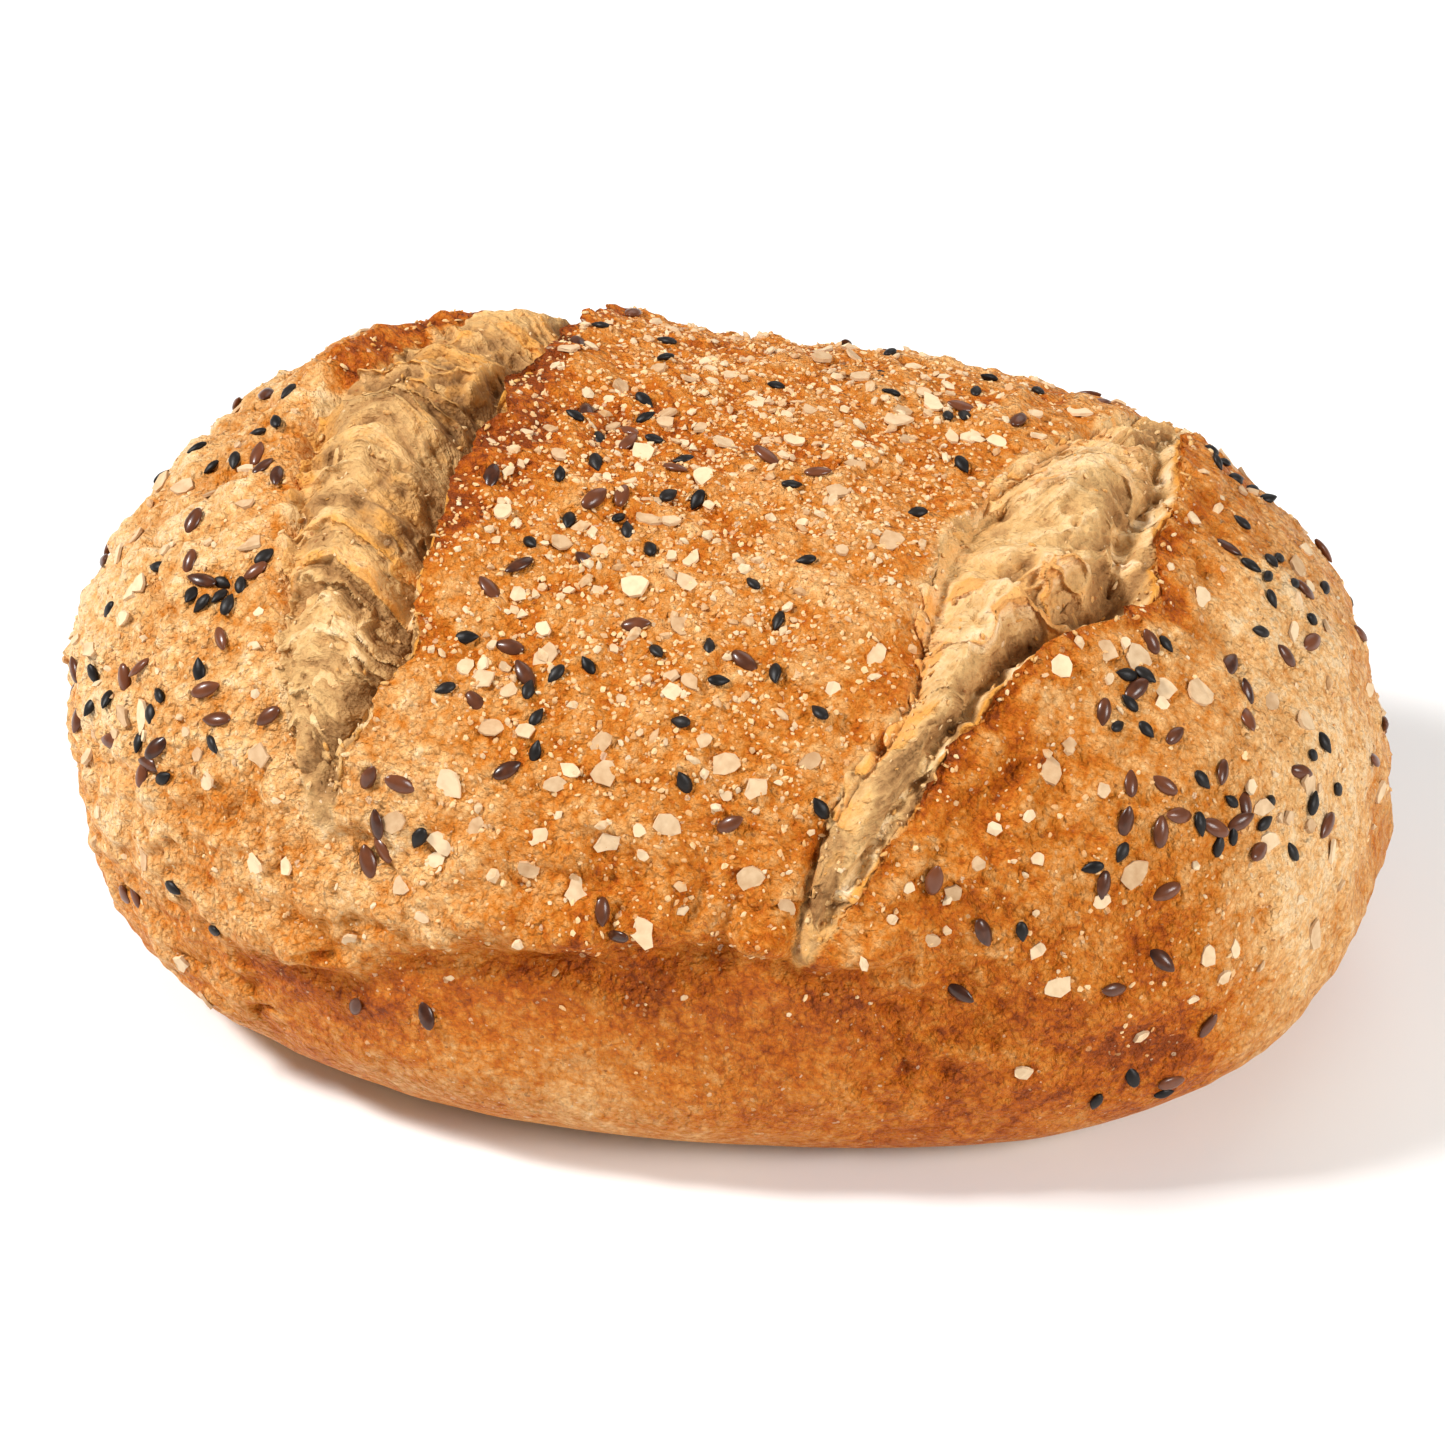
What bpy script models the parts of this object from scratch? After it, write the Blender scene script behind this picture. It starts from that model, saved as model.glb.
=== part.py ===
# A multigrain sourdough loaf: a long oval hearth loaf with two torn slashes across its top,
# and sesame, linseed and cereal flakes baked onto its crust.
# Units are metres, +Z is up, and the origin is the centre of the box on the loaf's flat base.
import functools
import itertools
import math
import random

import bmesh
import bpy
import numpy as np
from mathutils import Matrix, Vector
from mathutils.bvhtree import BVHTree

MM = 0.001

# Loaf outline, seen from above, and its profile
HALF_LENGTH = 95.0 * MM
HALF_WIDTH = 66.3 * MM
HEIGHT = 84.0 * MM
WIDEST_HEIGHT = 21.0 * MM
BASE_SHARE = 0.715
BASE_TURN = 0.55
PLAN_POWER = 2.7
PROFILE_POWER = 3.1
TOP_LEAN = -5.5 * MM
MEAN_RADIUS = 80.0 * MM
CENTRE_SHIFT = (0.98 * MM, -5.56 * MM)

# Lobes of the outline: share of the radius, how often round, and whether it is a sine
LOBES = ((-0.064, 1, True), (0.050, 2, True), (0.016, 3, False), (0.024, 3, True))

# The two slashes, in the crust's unrolled plan. Each station, in mm, is a place across the
# loaf, the torn patch's left edge there, the raised lip on its right, and the hollow's depth.
LEFT_SLASH = {
    "stations": ((-80, -42, -39, 0), (-66, -45, -30.5, 3.5), (-53, -49.5, -23.5, 6),
                 (-38, -52, -26, 7), (-14, -59, -27, 6), (8, -61, -27, 4.5), (30, -58, -28, 2.5),
                 (64, -34, -26, 0)),
    "dome": 2.2 * MM, "lip": 3.2 * MM, "overhang": 0.6 * MM, "rim": 2.6 * MM, "seed": 11,
}
RIGHT_SLASH = {
    "stations": ((-82, 40, 41.5, 0), (-64, 37.5, 49, 3), (-42, 45.5, 55, 4), (-22, 41.5, 64, 5),
                 (-10, 39.5, 73, 5), (16, 47, 69, 4), (40, 56, 66, 2), (58, 60, 64, 0)),
    "dome": 1.8 * MM, "lip": 2.8 * MM, "overhang": 0.5 * MM, "rim": 0.0, "seed": 12,
}

# Cross-section of a torn patch, from its left edge (0) to its lip (1): shares of the dome
# that the crumb makes and of the hollow under the lip
PATCH_ACROSS = (0.0, 0.07, 0.2, 0.4, 0.6, 0.8, 0.9, 1.0)
PATCH_DOME = (0.0, -0.6, 0.3, 1.0, 0.5, 0.0, 0.0, 0.0)
PATCH_HOLLOW = (0.0, 0.05, 0.0, 0.0, 0.25, 0.8, 1.0, 1.0)
LIP_WALL = 3.8 * MM
LIP_START = 0.95
LIP_FALL = 9.0 * MM
RIM_SPAN = (-2.0 * MM, 46.0 * MM)
RIM_EASE = 10.0 * MM
RIM_FALL = 6.0 * MM
OVERHANG_REACH = 4.0 * MM
SLASH_ONSET = 0.45

# Shelf where the upper crust bulges over the plain band low on the front: its line in the
# unrolled plan (mm), height, how sharp its foot is, how far it falls back, and how it wanders
SHELF = ((-78, -96), (-48, -99), (-15, -93), (24, -84), (46, -78), (64, -69))
SHELF_HEIGHT = 1.3 * MM
SHELF_FOOT = 1.6 * MM
SHELF_FALL = 11.0 * MM
SHELF_EASE = 12.0 * MM
SHELF_WANDER = (2.4 * MM, 9.0 * MM, 8)

# Folds and blisters of the crust: place in the unrolled plan, radii and height, all in mm
FOLDS = (
    (-9, -87, 7, 3, 1.6), (0, -85, 7, 3.5, 2.2), (5, -83, 4, 3, 1.2), (5, -92, 9, 3, -1.2),
    (24, -73, 1.8, 6, -1.3), (27, -80, 2, 4, -1.0), (31, -76, 3, 8, 1.0), (36, -77, 3, 3.5, 1.9),
    (39, -71, 1.6, 6, -1.8), (-35, -80, 6, 3, -1.2), (-21, -84, 5, 4, 1.4), (-28, -90, 7, 3, 1.0),
    (-42, -89, 8, 4, 1.2), (52, -20, 4, 4, 2.4), (50, -36, 2.5, 8, 1.2), (43, -28, 3, 10, -1.8),
    (56, 2, 7, 12, 1.3), (-57, -13, 3, 6, -2.6), (-52.5, 8, 3, 7, -2.0), (-30, 12, 2.5, 4, -2.5),
    (-42, 2, 8, 10, 1.1), (-66, -2, 4, 14, 1.5), (-18, -66, 9, 5, 1.3), (70, -60, 12, 7, 1.0),
    (10, 40, 16, 10, 1.2), (40, 66, 14, 8, -1.2), (-40, 84, 14, 7, 1.2),
)

# Uneven surface: cells of the random lattice, the lumps' height, size and draw, the layers of
# the torn crumb, and how far the lips wander
LATTICE_CELLS = 32
LUMPS = ((1.7 * MM, 44.0 * MM, 3), (0.8 * MM, 16.0 * MM, 4), (0.3 * MM, 7.0 * MM, 5))
LEDGE_HEIGHT = 1.6 * MM
LEDGE_SPACING = 9.0 * MM
LEDGE_LENGTH = 24.0 * MM
LIP_WANDER = ((1.3 * MM, 9.0 * MM), (0.8 * MM, 5.0 * MM))

# Faces of the loaf before the seeds are joined on
SPHERE_LEVELS = 8
SOFTENING = 0.5
SOFTENING_ROUNDS = 4
LOAF_TRIANGLES = 5200
BASE_TRIM = 0.25 * MM
SMALLEST_EDGE = 0.04 * MM

# Seeds: length, width, thickness, how deep they sit, and how many
FLAX = {"size": (4.7 * MM, 2.4 * MM, 1.2 * MM), "sunk": 0.25, "count": 40}
SESAME = {"size": (3.5 * MM, 2.0 * MM, 1.1 * MM), "sunk": 0.22, "count": 36}
FLAKE = {"size": (4.8 * MM, 3.6 * MM, 1.0 * MM), "sunk": 0.30, "count": 58}
SEED_SIDES = 6
SEED_TIP = 0.2
SEED_SWELLS = ((-0.24, 1.0), (0.16, 0.86))
FLAKE_TOP = 0.8
SLASH_START = 0.12
SEED_SPACING = 5.0 * MM
SEED_FLOOR = 14.0 * MM
SEED_FULL = 59.0 * MM
SEED_FIELD = ((-135.0 * MM, 140.0 * MM), (-115.0 * MM, 110.0 * MM))
SEED_TRIES = 80
PROBE = 20.0 * MM
PROBE_STEP = 0.5 * MM
PROBE_RING = 2.0 * MM
SEED_CLEAR = 3.0 * MM
SEED_DRAW = 2857

# Where seeds fell together: place in the unrolled plan (mm), then sesame, flax and flakes
CLUMPS = (
    (-58, -46, 2, 2, 1), (-78, -65, 2, 1, 1), (-70, -17, 2, 1, 1), (-10, -54, 2, 1, 3),
    (-1, -23, 2, 1, 2), (-8, -4, 1, 1, 3), (16, -52, 2, 0, 2), (73, -23, 2, 1, 3),
    (81, -45, 1, 3, 1), (99, -28, 2, 1, 1), (74, 37, 3, 0, 1), (-1, -68, 1, 0, 3),
    (-27, -75, 0, 2, 2), (90, 18, 2, 0, 1),
)
CLUMP_SPREAD = 5.0 * MM


def smooth_step(low, high, value):
    share = np.clip((value - low) / (high - low), 0.0, 1.0)
    return share * share * (3.0 - 2.0 * share)


@functools.lru_cache(maxsize=None)
def random_lattice(seed):
    return np.random.default_rng(seed).uniform(-1.0, 1.0, (LATTICE_CELLS,) * 3)


def lattice_noise(points, size, seed):
    # Smooth random heights from -1 to 1, by blending the corners of a lattice of cells
    lattice = random_lattice(seed)
    scaled = np.asarray(points) / size
    corner = np.floor(scaled).astype(int)
    share = scaled - corner
    blend = share ** 3 * (share * (share * 6.0 - 15.0) + 10.0)
    total = np.zeros(len(scaled))
    for step in itertools.product((0, 1), repeat=3):
        weight = np.prod(np.where(step, blend, 1.0 - blend), axis=1)
        index = (corner + np.array(step)) % LATTICE_CELLS
        total += weight * lattice[index[:, 0], index[:, 1], index[:, 2]]
    return total


def plan_radius(turn):
    # Radius of the widest outline at an angle round the loaf
    across = np.abs(np.cos(turn) / HALF_LENGTH) ** PLAN_POWER
    across = across + np.abs(np.sin(turn) / HALF_WIDTH) ** PLAN_POWER
    lobes = 1.0
    for share, times, is_sine in LOBES:
        lobes = lobes + share * (np.sin(times * turn) if is_sine else np.cos(times * turn))
    return across ** (-1.0 / PLAN_POWER) * lobes


def profile(rise):
    # Share of the outline and height, from the base's centre (-90 degrees) to the top (90)
    cosine = np.cos(rise)
    sine = np.abs(np.sin(rise))
    arch = (cosine ** PROFILE_POWER + sine ** PROFILE_POWER) ** (-1.0 / PROFILE_POWER)
    down = np.clip(-rise / (math.pi / 2), 0.0, 1.0)
    turn = np.clip(down / BASE_TURN, 0.0, 1.0) * math.pi / 2
    lower_share = np.where(down < BASE_TURN, BASE_SHARE + (1.0 - BASE_SHARE) * np.cos(turn),
                           BASE_SHARE * (1.0 - down) / (1.0 - BASE_TURN))
    lift = np.where(rise >= 0.0, arch * sine, 0.0)
    height = np.where(rise >= 0.0, WIDEST_HEIGHT + (HEIGHT - WIDEST_HEIGHT) * lift,
                      WIDEST_HEIGHT * (1.0 - np.sin(turn)))
    return np.where(rise >= 0.0, arch * cosine, lower_share), height, lift


RISES = np.linspace(math.pi / 2, -math.pi / 2, 1601)
PROFILE_SHARES, PROFILE_HEIGHTS, PROFILE_LIFTS = profile(RISES)
RUNS = np.concatenate(([0.0], np.cumsum(np.hypot(np.diff(PROFILE_SHARES * MEAN_RADIUS),
                                                 np.diff(PROFILE_HEIGHTS)))))


def place(turn, rise):
    # Point of the smooth loaf
    share, height, lift = profile(rise)
    radius = share * plan_radius(turn)
    return np.stack((radius * np.cos(turn) + TOP_LEAN * lift - CENTRE_SHIFT[0],
                     radius * np.sin(turn) - CENTRE_SHIFT[1], height), axis=-1)


def unroll(turn, rise):
    # The crust laid out flat round the top's centre: distances run along the profile
    run = np.interp(-rise, -RISES, RUNS) / MEAN_RADIUS * plan_radius(turn)
    return run * np.cos(turn), run * np.sin(turn)


def roll_up(u, v):
    # The smooth loaf's angles at a place of the unrolled plan
    turn = np.arctan2(v, u)
    run = np.hypot(u, v) / plan_radius(turn) * MEAN_RADIUS
    return turn, np.interp(run, RUNS, RISES)


def along(slash, v, column):
    # An edge of the slash at each place across the loaf, rounded between its stations
    stations = np.array(slash["stations"], dtype=float) * MM
    reach = np.arange(stations[0, 0] - 0.02, stations[-1, 0] + 0.02, MM)
    line = np.interp(reach, stations[:, 0], stations[:, column])
    window = np.hanning(25)
    line = np.convolve(np.pad(line, 12, mode="edge"), window / window.sum(), mode="valid")
    return np.interp(v, reach, line)


def slash_frame(slash, u, v):
    # Place in a slash: strength along it, share across it, and distance past its lip
    first = slash["stations"][0][0] * MM
    last = slash["stations"][-1][0] * MM
    share = np.clip((v - first) / (last - first), 0.0, 1.0)
    strength = np.sin(math.pi * share) ** SLASH_ONSET
    edge = along(slash, v, 1)
    lip = along(slash, v, 2)
    line = np.stack((v, v * 0.0, v * 0.0), axis=-1)
    for height, size in LIP_WANDER:
        lip = lip + height * strength * lattice_noise(line, size, slash["seed"])
    across = (u - edge) / np.maximum(lip - edge, 2.0 * MM)
    return strength, across, u - lip, u - edge


def slash_relief(slash, u, v):
    # Height and sideways overhang that a torn slash adds to the crust
    strength, across, past, past_edge = slash_frame(slash, u, v)
    dome = slash["dome"] * np.interp(across, PATCH_ACROSS, PATCH_DOME)
    hollow = along(slash, v, 3) * np.interp(across, PATCH_ACROSS, PATCH_HOLLOW)
    wall = smooth_step(-LIP_WALL, 0.0, past)
    crest = slash["lip"] * np.exp(-np.maximum(past, 0.0) / LIP_FALL)
    height = (dome - hollow) * (1.0 - wall) + crest * wall
    rim_zone = smooth_step(RIM_SPAN[0], RIM_SPAN[0] + RIM_EASE, v)
    rim_zone = rim_zone * (1.0 - smooth_step(RIM_SPAN[1] - RIM_EASE, RIM_SPAN[1], v))
    height = height + slash["rim"] * rim_zone * np.exp(-(past_edge / RIM_FALL) ** 2)
    inside = smooth_step(0.0, 0.12, across) * (1.0 - smooth_step(0.84, 0.95, across))
    layers = np.stack((u / LEDGE_LENGTH, v / LEDGE_SPACING, v * 0.0), axis=-1)
    bend = lattice_noise(layers * 0.6, 1.0, slash["seed"] + 5)
    layers[:, 1] += 0.7 * bend
    ledge = 1.0 - 2.0 * np.abs(lattice_noise(layers, 1.0, slash["seed"] + 9))
    height = height + inside * LEDGE_HEIGHT * (ledge - 0.3)
    overhang = slash["overhang"] * np.exp(-(past / OVERHANG_REACH) ** 2) * wall
    return strength * height, strength * overhang


def shelf_relief(u, v, points):
    # Height of the bulge above the shelf's line
    line = np.array(SHELF, dtype=float) * MM
    size, cell, seed = SHELF_WANDER
    above = v - np.interp(u, line[:, 0], line[:, 1]) + size * lattice_noise(points, cell, seed)
    ends = smooth_step(line[0, 0], line[0, 0] + SHELF_EASE, u)
    ends = ends * (1.0 - smooth_step(line[-1, 0] - SHELF_EASE, line[-1, 0], u))
    bulge = smooth_step(-0.5 * SHELF_FOOT, 0.5 * SHELF_FOOT, above)
    return SHELF_HEIGHT * ends * bulge * np.exp(-np.maximum(above, 0.0) / SHELF_FALL)


def crust_relief(u, v, points):
    # All relief above the smooth loaf, fading out towards the flat base
    height = shelf_relief(u, v, points)
    overhang = np.zeros(len(u))
    for slash in (LEFT_SLASH, RIGHT_SLASH):
        slash_height, slash_overhang = slash_relief(slash, u, v)
        height += slash_height
        overhang += slash_overhang
    for fold_u, fold_v, radius_u, radius_v, fold_height in FOLDS:
        reach = ((u / MM - fold_u) / radius_u) ** 2 + ((v / MM - fold_v) / radius_v) ** 2
        height += fold_height * MM * np.exp(-reach)
    for lump, size, seed in LUMPS:
        height += lump * lattice_noise(points, size, seed)
    fade = smooth_step(1.0 * MM, 14.0 * MM, points[:, 2])
    return height * fade, overhang * fade


def in_slash(u, v):
    # Whether a place of the unrolled plan lies in a torn patch or on its lip
    for slash in (LEFT_SLASH, RIGHT_SLASH):
        strength, across, past, past_edge = slash_frame(slash, np.array([u]), np.array([v]))
        if strength[0] > SLASH_START and past_edge[0] > -SEED_CLEAR and past[0] < SEED_CLEAR:
            return True
    return False


def plain_material(name, colour, roughness):
    material = bpy.data.materials.new(name)
    material.use_nodes = True
    shader = material.node_tree.nodes["Principled BSDF"]
    shader.inputs["Base Color"].default_value = (*colour, 1.0)
    shader.inputs["Roughness"].default_value = roughness
    shader.inputs["Metallic"].default_value = 0.0
    return material


def apply_modifier(thing, modifier):
    bpy.context.view_layer.objects.active = thing
    bpy.ops.object.modifier_apply(modifier=modifier.name)


def trim_base(mesh):
    # Cut a thin slice off the bottom, so that the base is one true plane at z = 0
    work = bmesh.new()
    work.from_mesh(mesh)
    geometry = work.verts[:] + work.edges[:] + work.faces[:]
    cut = bmesh.ops.bisect_plane(work, geom=geometry, plane_co=(0.0, 0.0, BASE_TRIM),
                                 plane_no=(0.0, 0.0, -1.0), clear_outer=True)
    rim = [item for item in cut["geom_cut"] if isinstance(item, bmesh.types.BMEdge)]
    bmesh.ops.contextual_create(work, geom=rim)
    bmesh.ops.translate(work, vec=(0.0, 0.0, -BASE_TRIM), verts=work.verts)
    bmesh.ops.triangulate(work, faces=work.faces)
    bmesh.ops.recalc_face_normals(work, faces=work.faces)
    work.to_mesh(mesh)
    work.free()


def make_loaf(materials):
    bpy.ops.mesh.primitive_ico_sphere_add(subdivisions=SPHERE_LEVELS, radius=1.0)
    loaf = bpy.context.active_object
    loaf.name = "loaf"
    mesh = loaf.data
    mesh.name = "loaf"
    count = len(mesh.vertices)
    flat = np.empty(count * 3)
    mesh.vertices.foreach_get("co", flat)
    ball = flat.reshape(-1, 3)
    turn = np.arctan2(ball[:, 1], ball[:, 0])
    rise = np.arcsin(np.clip(ball[:, 2] / np.linalg.norm(ball, axis=1), -1.0, 1.0))
    smooth = place(turn, rise)
    mesh.vertices.foreach_set("co", smooth.ravel())
    mesh.update()
    normals = np.empty(count * 3)
    mesh.vertices.foreach_get("normal", normals)
    u, v = unroll(turn, rise)
    height, overhang = crust_relief(u, v, smooth)
    turn, rise = roll_up(u - overhang, v)
    shaped = place(turn, rise) + normals.reshape(-1, 3) * height[:, None]
    mesh.vertices.foreach_set("co", shaped.ravel())
    mesh.update()
    for material in materials:
        mesh.materials.append(material)
    soften = loaf.modifiers.new("softer", "SMOOTH")
    soften.factor = SOFTENING
    soften.iterations = SOFTENING_ROUNDS
    apply_modifier(loaf, soften)
    thin = loaf.modifiers.new("coarser", "DECIMATE")
    thin.ratio = LOAF_TRIANGLES / len(mesh.polygons)
    apply_modifier(loaf, thin)
    trim_base(mesh)
    return loaf


def paint_crumb(mesh):
    # The torn patches are crumb, the rest is crust
    for face in mesh.polygons:
        centre = face.center
        turn = math.atan2(centre.y + CENTRE_SHIFT[1], centre.x + CENTRE_SHIFT[0])
        share = min(1.0, max(0.0, (centre.z - WIDEST_HEIGHT) / (HEIGHT - WIDEST_HEIGHT)))
        rise = math.atan2(share, (1.0 - share ** PROFILE_POWER) ** (1.0 / PROFILE_POWER))
        u, v = unroll(np.array([turn]), np.array([rise]))
        for slash in (LEFT_SLASH, RIGHT_SLASH):
            strength, across, past, past_edge = slash_frame(slash, u, v)
            if centre.z > WIDEST_HEIGHT and strength[0] > SLASH_START and 0.0 < across[0] < LIP_START:
                face.material_index = 1


def seed_points(kind, draw):
    # Corners of one seed, long way along x: a lens that narrows to a point, or a broken flake
    length, width, thickness = kind["size"]
    points = []
    if kind is FLAKE:
        scale = draw.uniform(0.75, 1.25)
        for side in range(SEED_SIDES):
            angle = 2.0 * math.pi * (side + draw.uniform(-0.2, 0.2)) / SEED_SIDES
            reach = draw.uniform(0.85, 1.1)
            x = 0.5 * length * reach * math.cos(angle)
            y = 0.5 * width * reach * math.sin(angle)
            points.append((x, y, -0.5 * thickness))
            points.append((FLAKE_TOP * x, FLAKE_TOP * y, 0.5 * thickness))
    else:
        scale = draw.uniform(0.85, 1.15)
        points += [(-0.5 * length, 0.0, 0.0), (0.5 * length, 0.0, 0.0)]
        for x_share, swell in SEED_SWELLS:
            for side in range(SEED_SIDES):
                angle = 2.0 * math.pi * side / SEED_SIDES
                points.append((x_share * length, 0.5 * width * swell * math.cos(angle),
                               0.5 * thickness * swell * math.sin(angle)))
    return [Vector(point) * scale for point in points]


def make_seed(name, kind, spot, normal, draw, material):
    mesh = bpy.data.meshes.new(name)
    work = bmesh.new()
    spin = Matrix.Rotation(draw.uniform(0.0, 2.0 * math.pi), 4, "Z")
    tip = Matrix.Rotation(draw.uniform(-SEED_TIP, SEED_TIP), 4, "X")
    tip = tip @ Matrix.Rotation(draw.uniform(-SEED_TIP, SEED_TIP), 4, "Y")
    lean = normal.to_track_quat("Z", "Y").to_matrix().to_4x4()
    rise = (0.5 - kind["sunk"]) * kind["size"][2]
    placed = Matrix.Translation(spot + normal * rise) @ lean @ tip @ spin
    for point in seed_points(kind, draw):
        work.verts.new(placed @ point)
    bmesh.ops.convex_hull(work, input=work.verts)
    bmesh.ops.triangulate(work, faces=work.faces)
    bmesh.ops.recalc_face_normals(work, faces=work.faces)
    work.to_mesh(mesh)
    work.free()
    mesh.materials.append(material)
    return bpy.data.objects.new(name, mesh)


def surface_at(tree, u, v):
    # The real crust above a place of the unrolled plan: its point, and its normal smoothed
    # over a ring of points around it
    near = place(*roll_up(np.array((u, u + PROBE_STEP, u)), np.array((v, v, v + PROBE_STEP))))
    normal = Vector(np.cross(near[1] - near[0], near[2] - near[0])).normalized()
    hit = tree.ray_cast(Vector(near[0]) + normal * PROBE, -normal, 2.0 * PROBE)
    if hit[0] is None:
        return None
    first_side = normal.orthogonal().normalized()
    second_side = normal.cross(first_side)
    smooth = hit[1].copy()
    for step in range(SEED_SIDES):
        angle = 2.0 * math.pi * step / SEED_SIDES
        side = first_side * math.cos(angle) + second_side * math.sin(angle)
        beside = tree.ray_cast(hit[0] + side * PROBE_RING + normal * PROBE, -normal, 2.0 * PROBE)
        if beside[0] is not None:
            smooth += beside[1]
    return hit[0], smooth.normalized()


def scatter_places(draw):
    # Clumps first, then the rest one kind after another, each a fair distance from the others
    wanted = []
    for u, v, sesame, flax, flakes in CLUMPS:
        for kind, count in ((SESAME, sesame), (FLAX, flax), (FLAKE, flakes)):
            for _ in range(count):
                wanted.append((kind, u * MM, v * MM, CLUMP_SPREAD))
    for kind in (FLAKE, FLAX, SESAME):
        already = sum(1 for item in wanted if item[0] is kind)
        for _ in range(kind["count"] - already):
            wanted.append((kind, None, None, 0.0))
    places = []
    for kind, clump_u, clump_v, spread in wanted:
        for _ in range(SEED_TRIES):
            if clump_u is None:
                u = draw.uniform(*SEED_FIELD[0])
                v = draw.uniform(*SEED_FIELD[1])
            else:
                u = clump_u + draw.gauss(0.0, spread)
                v = clump_v + draw.gauss(0.0, spread)
            turn, rise = roll_up(np.array([u]), np.array([v]))
            height = place(turn, rise)[0, 2]
            keep = (height - SEED_FLOOR) / (SEED_FULL - SEED_FLOOR)
            if draw.random() > keep or in_slash(u, v):
                continue
            if all(math.hypot(u - other[1], v - other[2]) > SEED_SPACING for other in places):
                places.append((kind, u, v))
                break
    return places


def sow(loaf, materials):
    # Model every seed on the crust, then join them all to the loaf by one union
    draw = random.Random(SEED_DRAW)
    work = bmesh.new()
    work.from_mesh(loaf.data)
    tree = BVHTree.FromBMesh(work)
    seeds = bpy.data.collections.new("seeds")
    bpy.context.scene.collection.children.link(seeds)
    names = {id(FLAX): "flax", id(SESAME): "sesame", id(FLAKE): "flake"}
    for number, (kind, u, v) in enumerate(scatter_places(draw)):
        found = surface_at(tree, u, v)
        if found is None or found[0].z < SEED_FLOOR:
            continue
        name = names[id(kind)]
        seeds.objects.link(make_seed(f"{name}_{number}", kind, found[0], found[1], draw, materials[name]))
    work.free()
    print("seeds", len(seeds.objects))
    union = loaf.modifiers.new("baked on", "BOOLEAN")
    union.operation = "UNION"
    union.operand_type = "COLLECTION"
    union.collection = seeds
    union.solver = "EXACT"
    union.material_mode = "TRANSFER"
    apply_modifier(loaf, union)
    for seed in list(seeds.objects):
        bpy.data.objects.remove(seed)
    bpy.data.collections.remove(seeds)


def finish_mesh(mesh):
    # Plain triangles, without the tiny edges that a union leaves where faces nearly meet
    work = bmesh.new()
    work.from_mesh(mesh)
    bmesh.ops.triangulate(work, faces=work.faces)
    bmesh.ops.dissolve_degenerate(work, dist=SMALLEST_EDGE, edges=work.edges)
    bmesh.ops.triangulate(work, faces=work.faces)
    work.to_mesh(mesh)
    work.free()


def main():
    for thing in list(bpy.data.objects):
        bpy.data.objects.remove(thing)
    crust = plain_material("baked crust", (0.62, 0.30, 0.10), 0.62)
    crumb = plain_material("torn crumb", (0.60, 0.38, 0.18), 0.85)
    toppings = {
        "flax": plain_material("linseed", (0.07, 0.025, 0.015), 0.3),
        "sesame": plain_material("black sesame", (0.012, 0.012, 0.014), 0.4),
        "flake": plain_material("cereal flake", (0.80, 0.62, 0.40), 0.7),
    }
    loaf = make_loaf((crust, crumb))
    paint_crumb(loaf.data)
    sow(loaf, toppings)
    finish_mesh(loaf.data)
    print("triangles", len(loaf.data.polygons))


main()
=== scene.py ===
import functools
import itertools
import math
import random

import bmesh
import bpy
import numpy as np
from mathutils import Matrix, Vector
from mathutils.bvhtree import BVHTree


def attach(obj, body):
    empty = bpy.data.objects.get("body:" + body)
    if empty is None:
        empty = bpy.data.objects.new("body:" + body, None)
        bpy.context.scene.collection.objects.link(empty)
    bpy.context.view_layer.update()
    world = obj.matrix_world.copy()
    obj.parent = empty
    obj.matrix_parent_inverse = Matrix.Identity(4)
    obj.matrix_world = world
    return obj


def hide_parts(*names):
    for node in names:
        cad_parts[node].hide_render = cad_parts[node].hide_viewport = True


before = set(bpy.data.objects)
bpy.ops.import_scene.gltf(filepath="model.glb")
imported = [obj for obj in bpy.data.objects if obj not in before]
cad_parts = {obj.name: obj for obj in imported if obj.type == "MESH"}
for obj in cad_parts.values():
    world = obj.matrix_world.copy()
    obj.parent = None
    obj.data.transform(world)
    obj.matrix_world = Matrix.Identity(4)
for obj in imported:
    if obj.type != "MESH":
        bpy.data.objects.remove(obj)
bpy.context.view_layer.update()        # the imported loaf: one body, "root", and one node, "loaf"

mm = 0.001

# The loaf's form: the same driving sizes as the solid it replaces
loaf = {
    "halfLength": 95.0 * mm, "halfWidth": 66.3 * mm, "height": 84.0 * mm, "widestHeight": 21.0 * mm,
    "baseShare": 0.715, "baseTurn": 0.55, "planPower": 2.7, "profilePower": 3.1,
    "topLean": -5.5 * mm, "meanRadius": 80.0 * mm, "shift": (0.98 * mm, -5.56 * mm),
    "lobes": ((-0.064, 1, True), (0.050, 2, True), (0.016, 3, False), (0.024, 3, True)),
    "baseTrim": 0.25 * mm,
}

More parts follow.
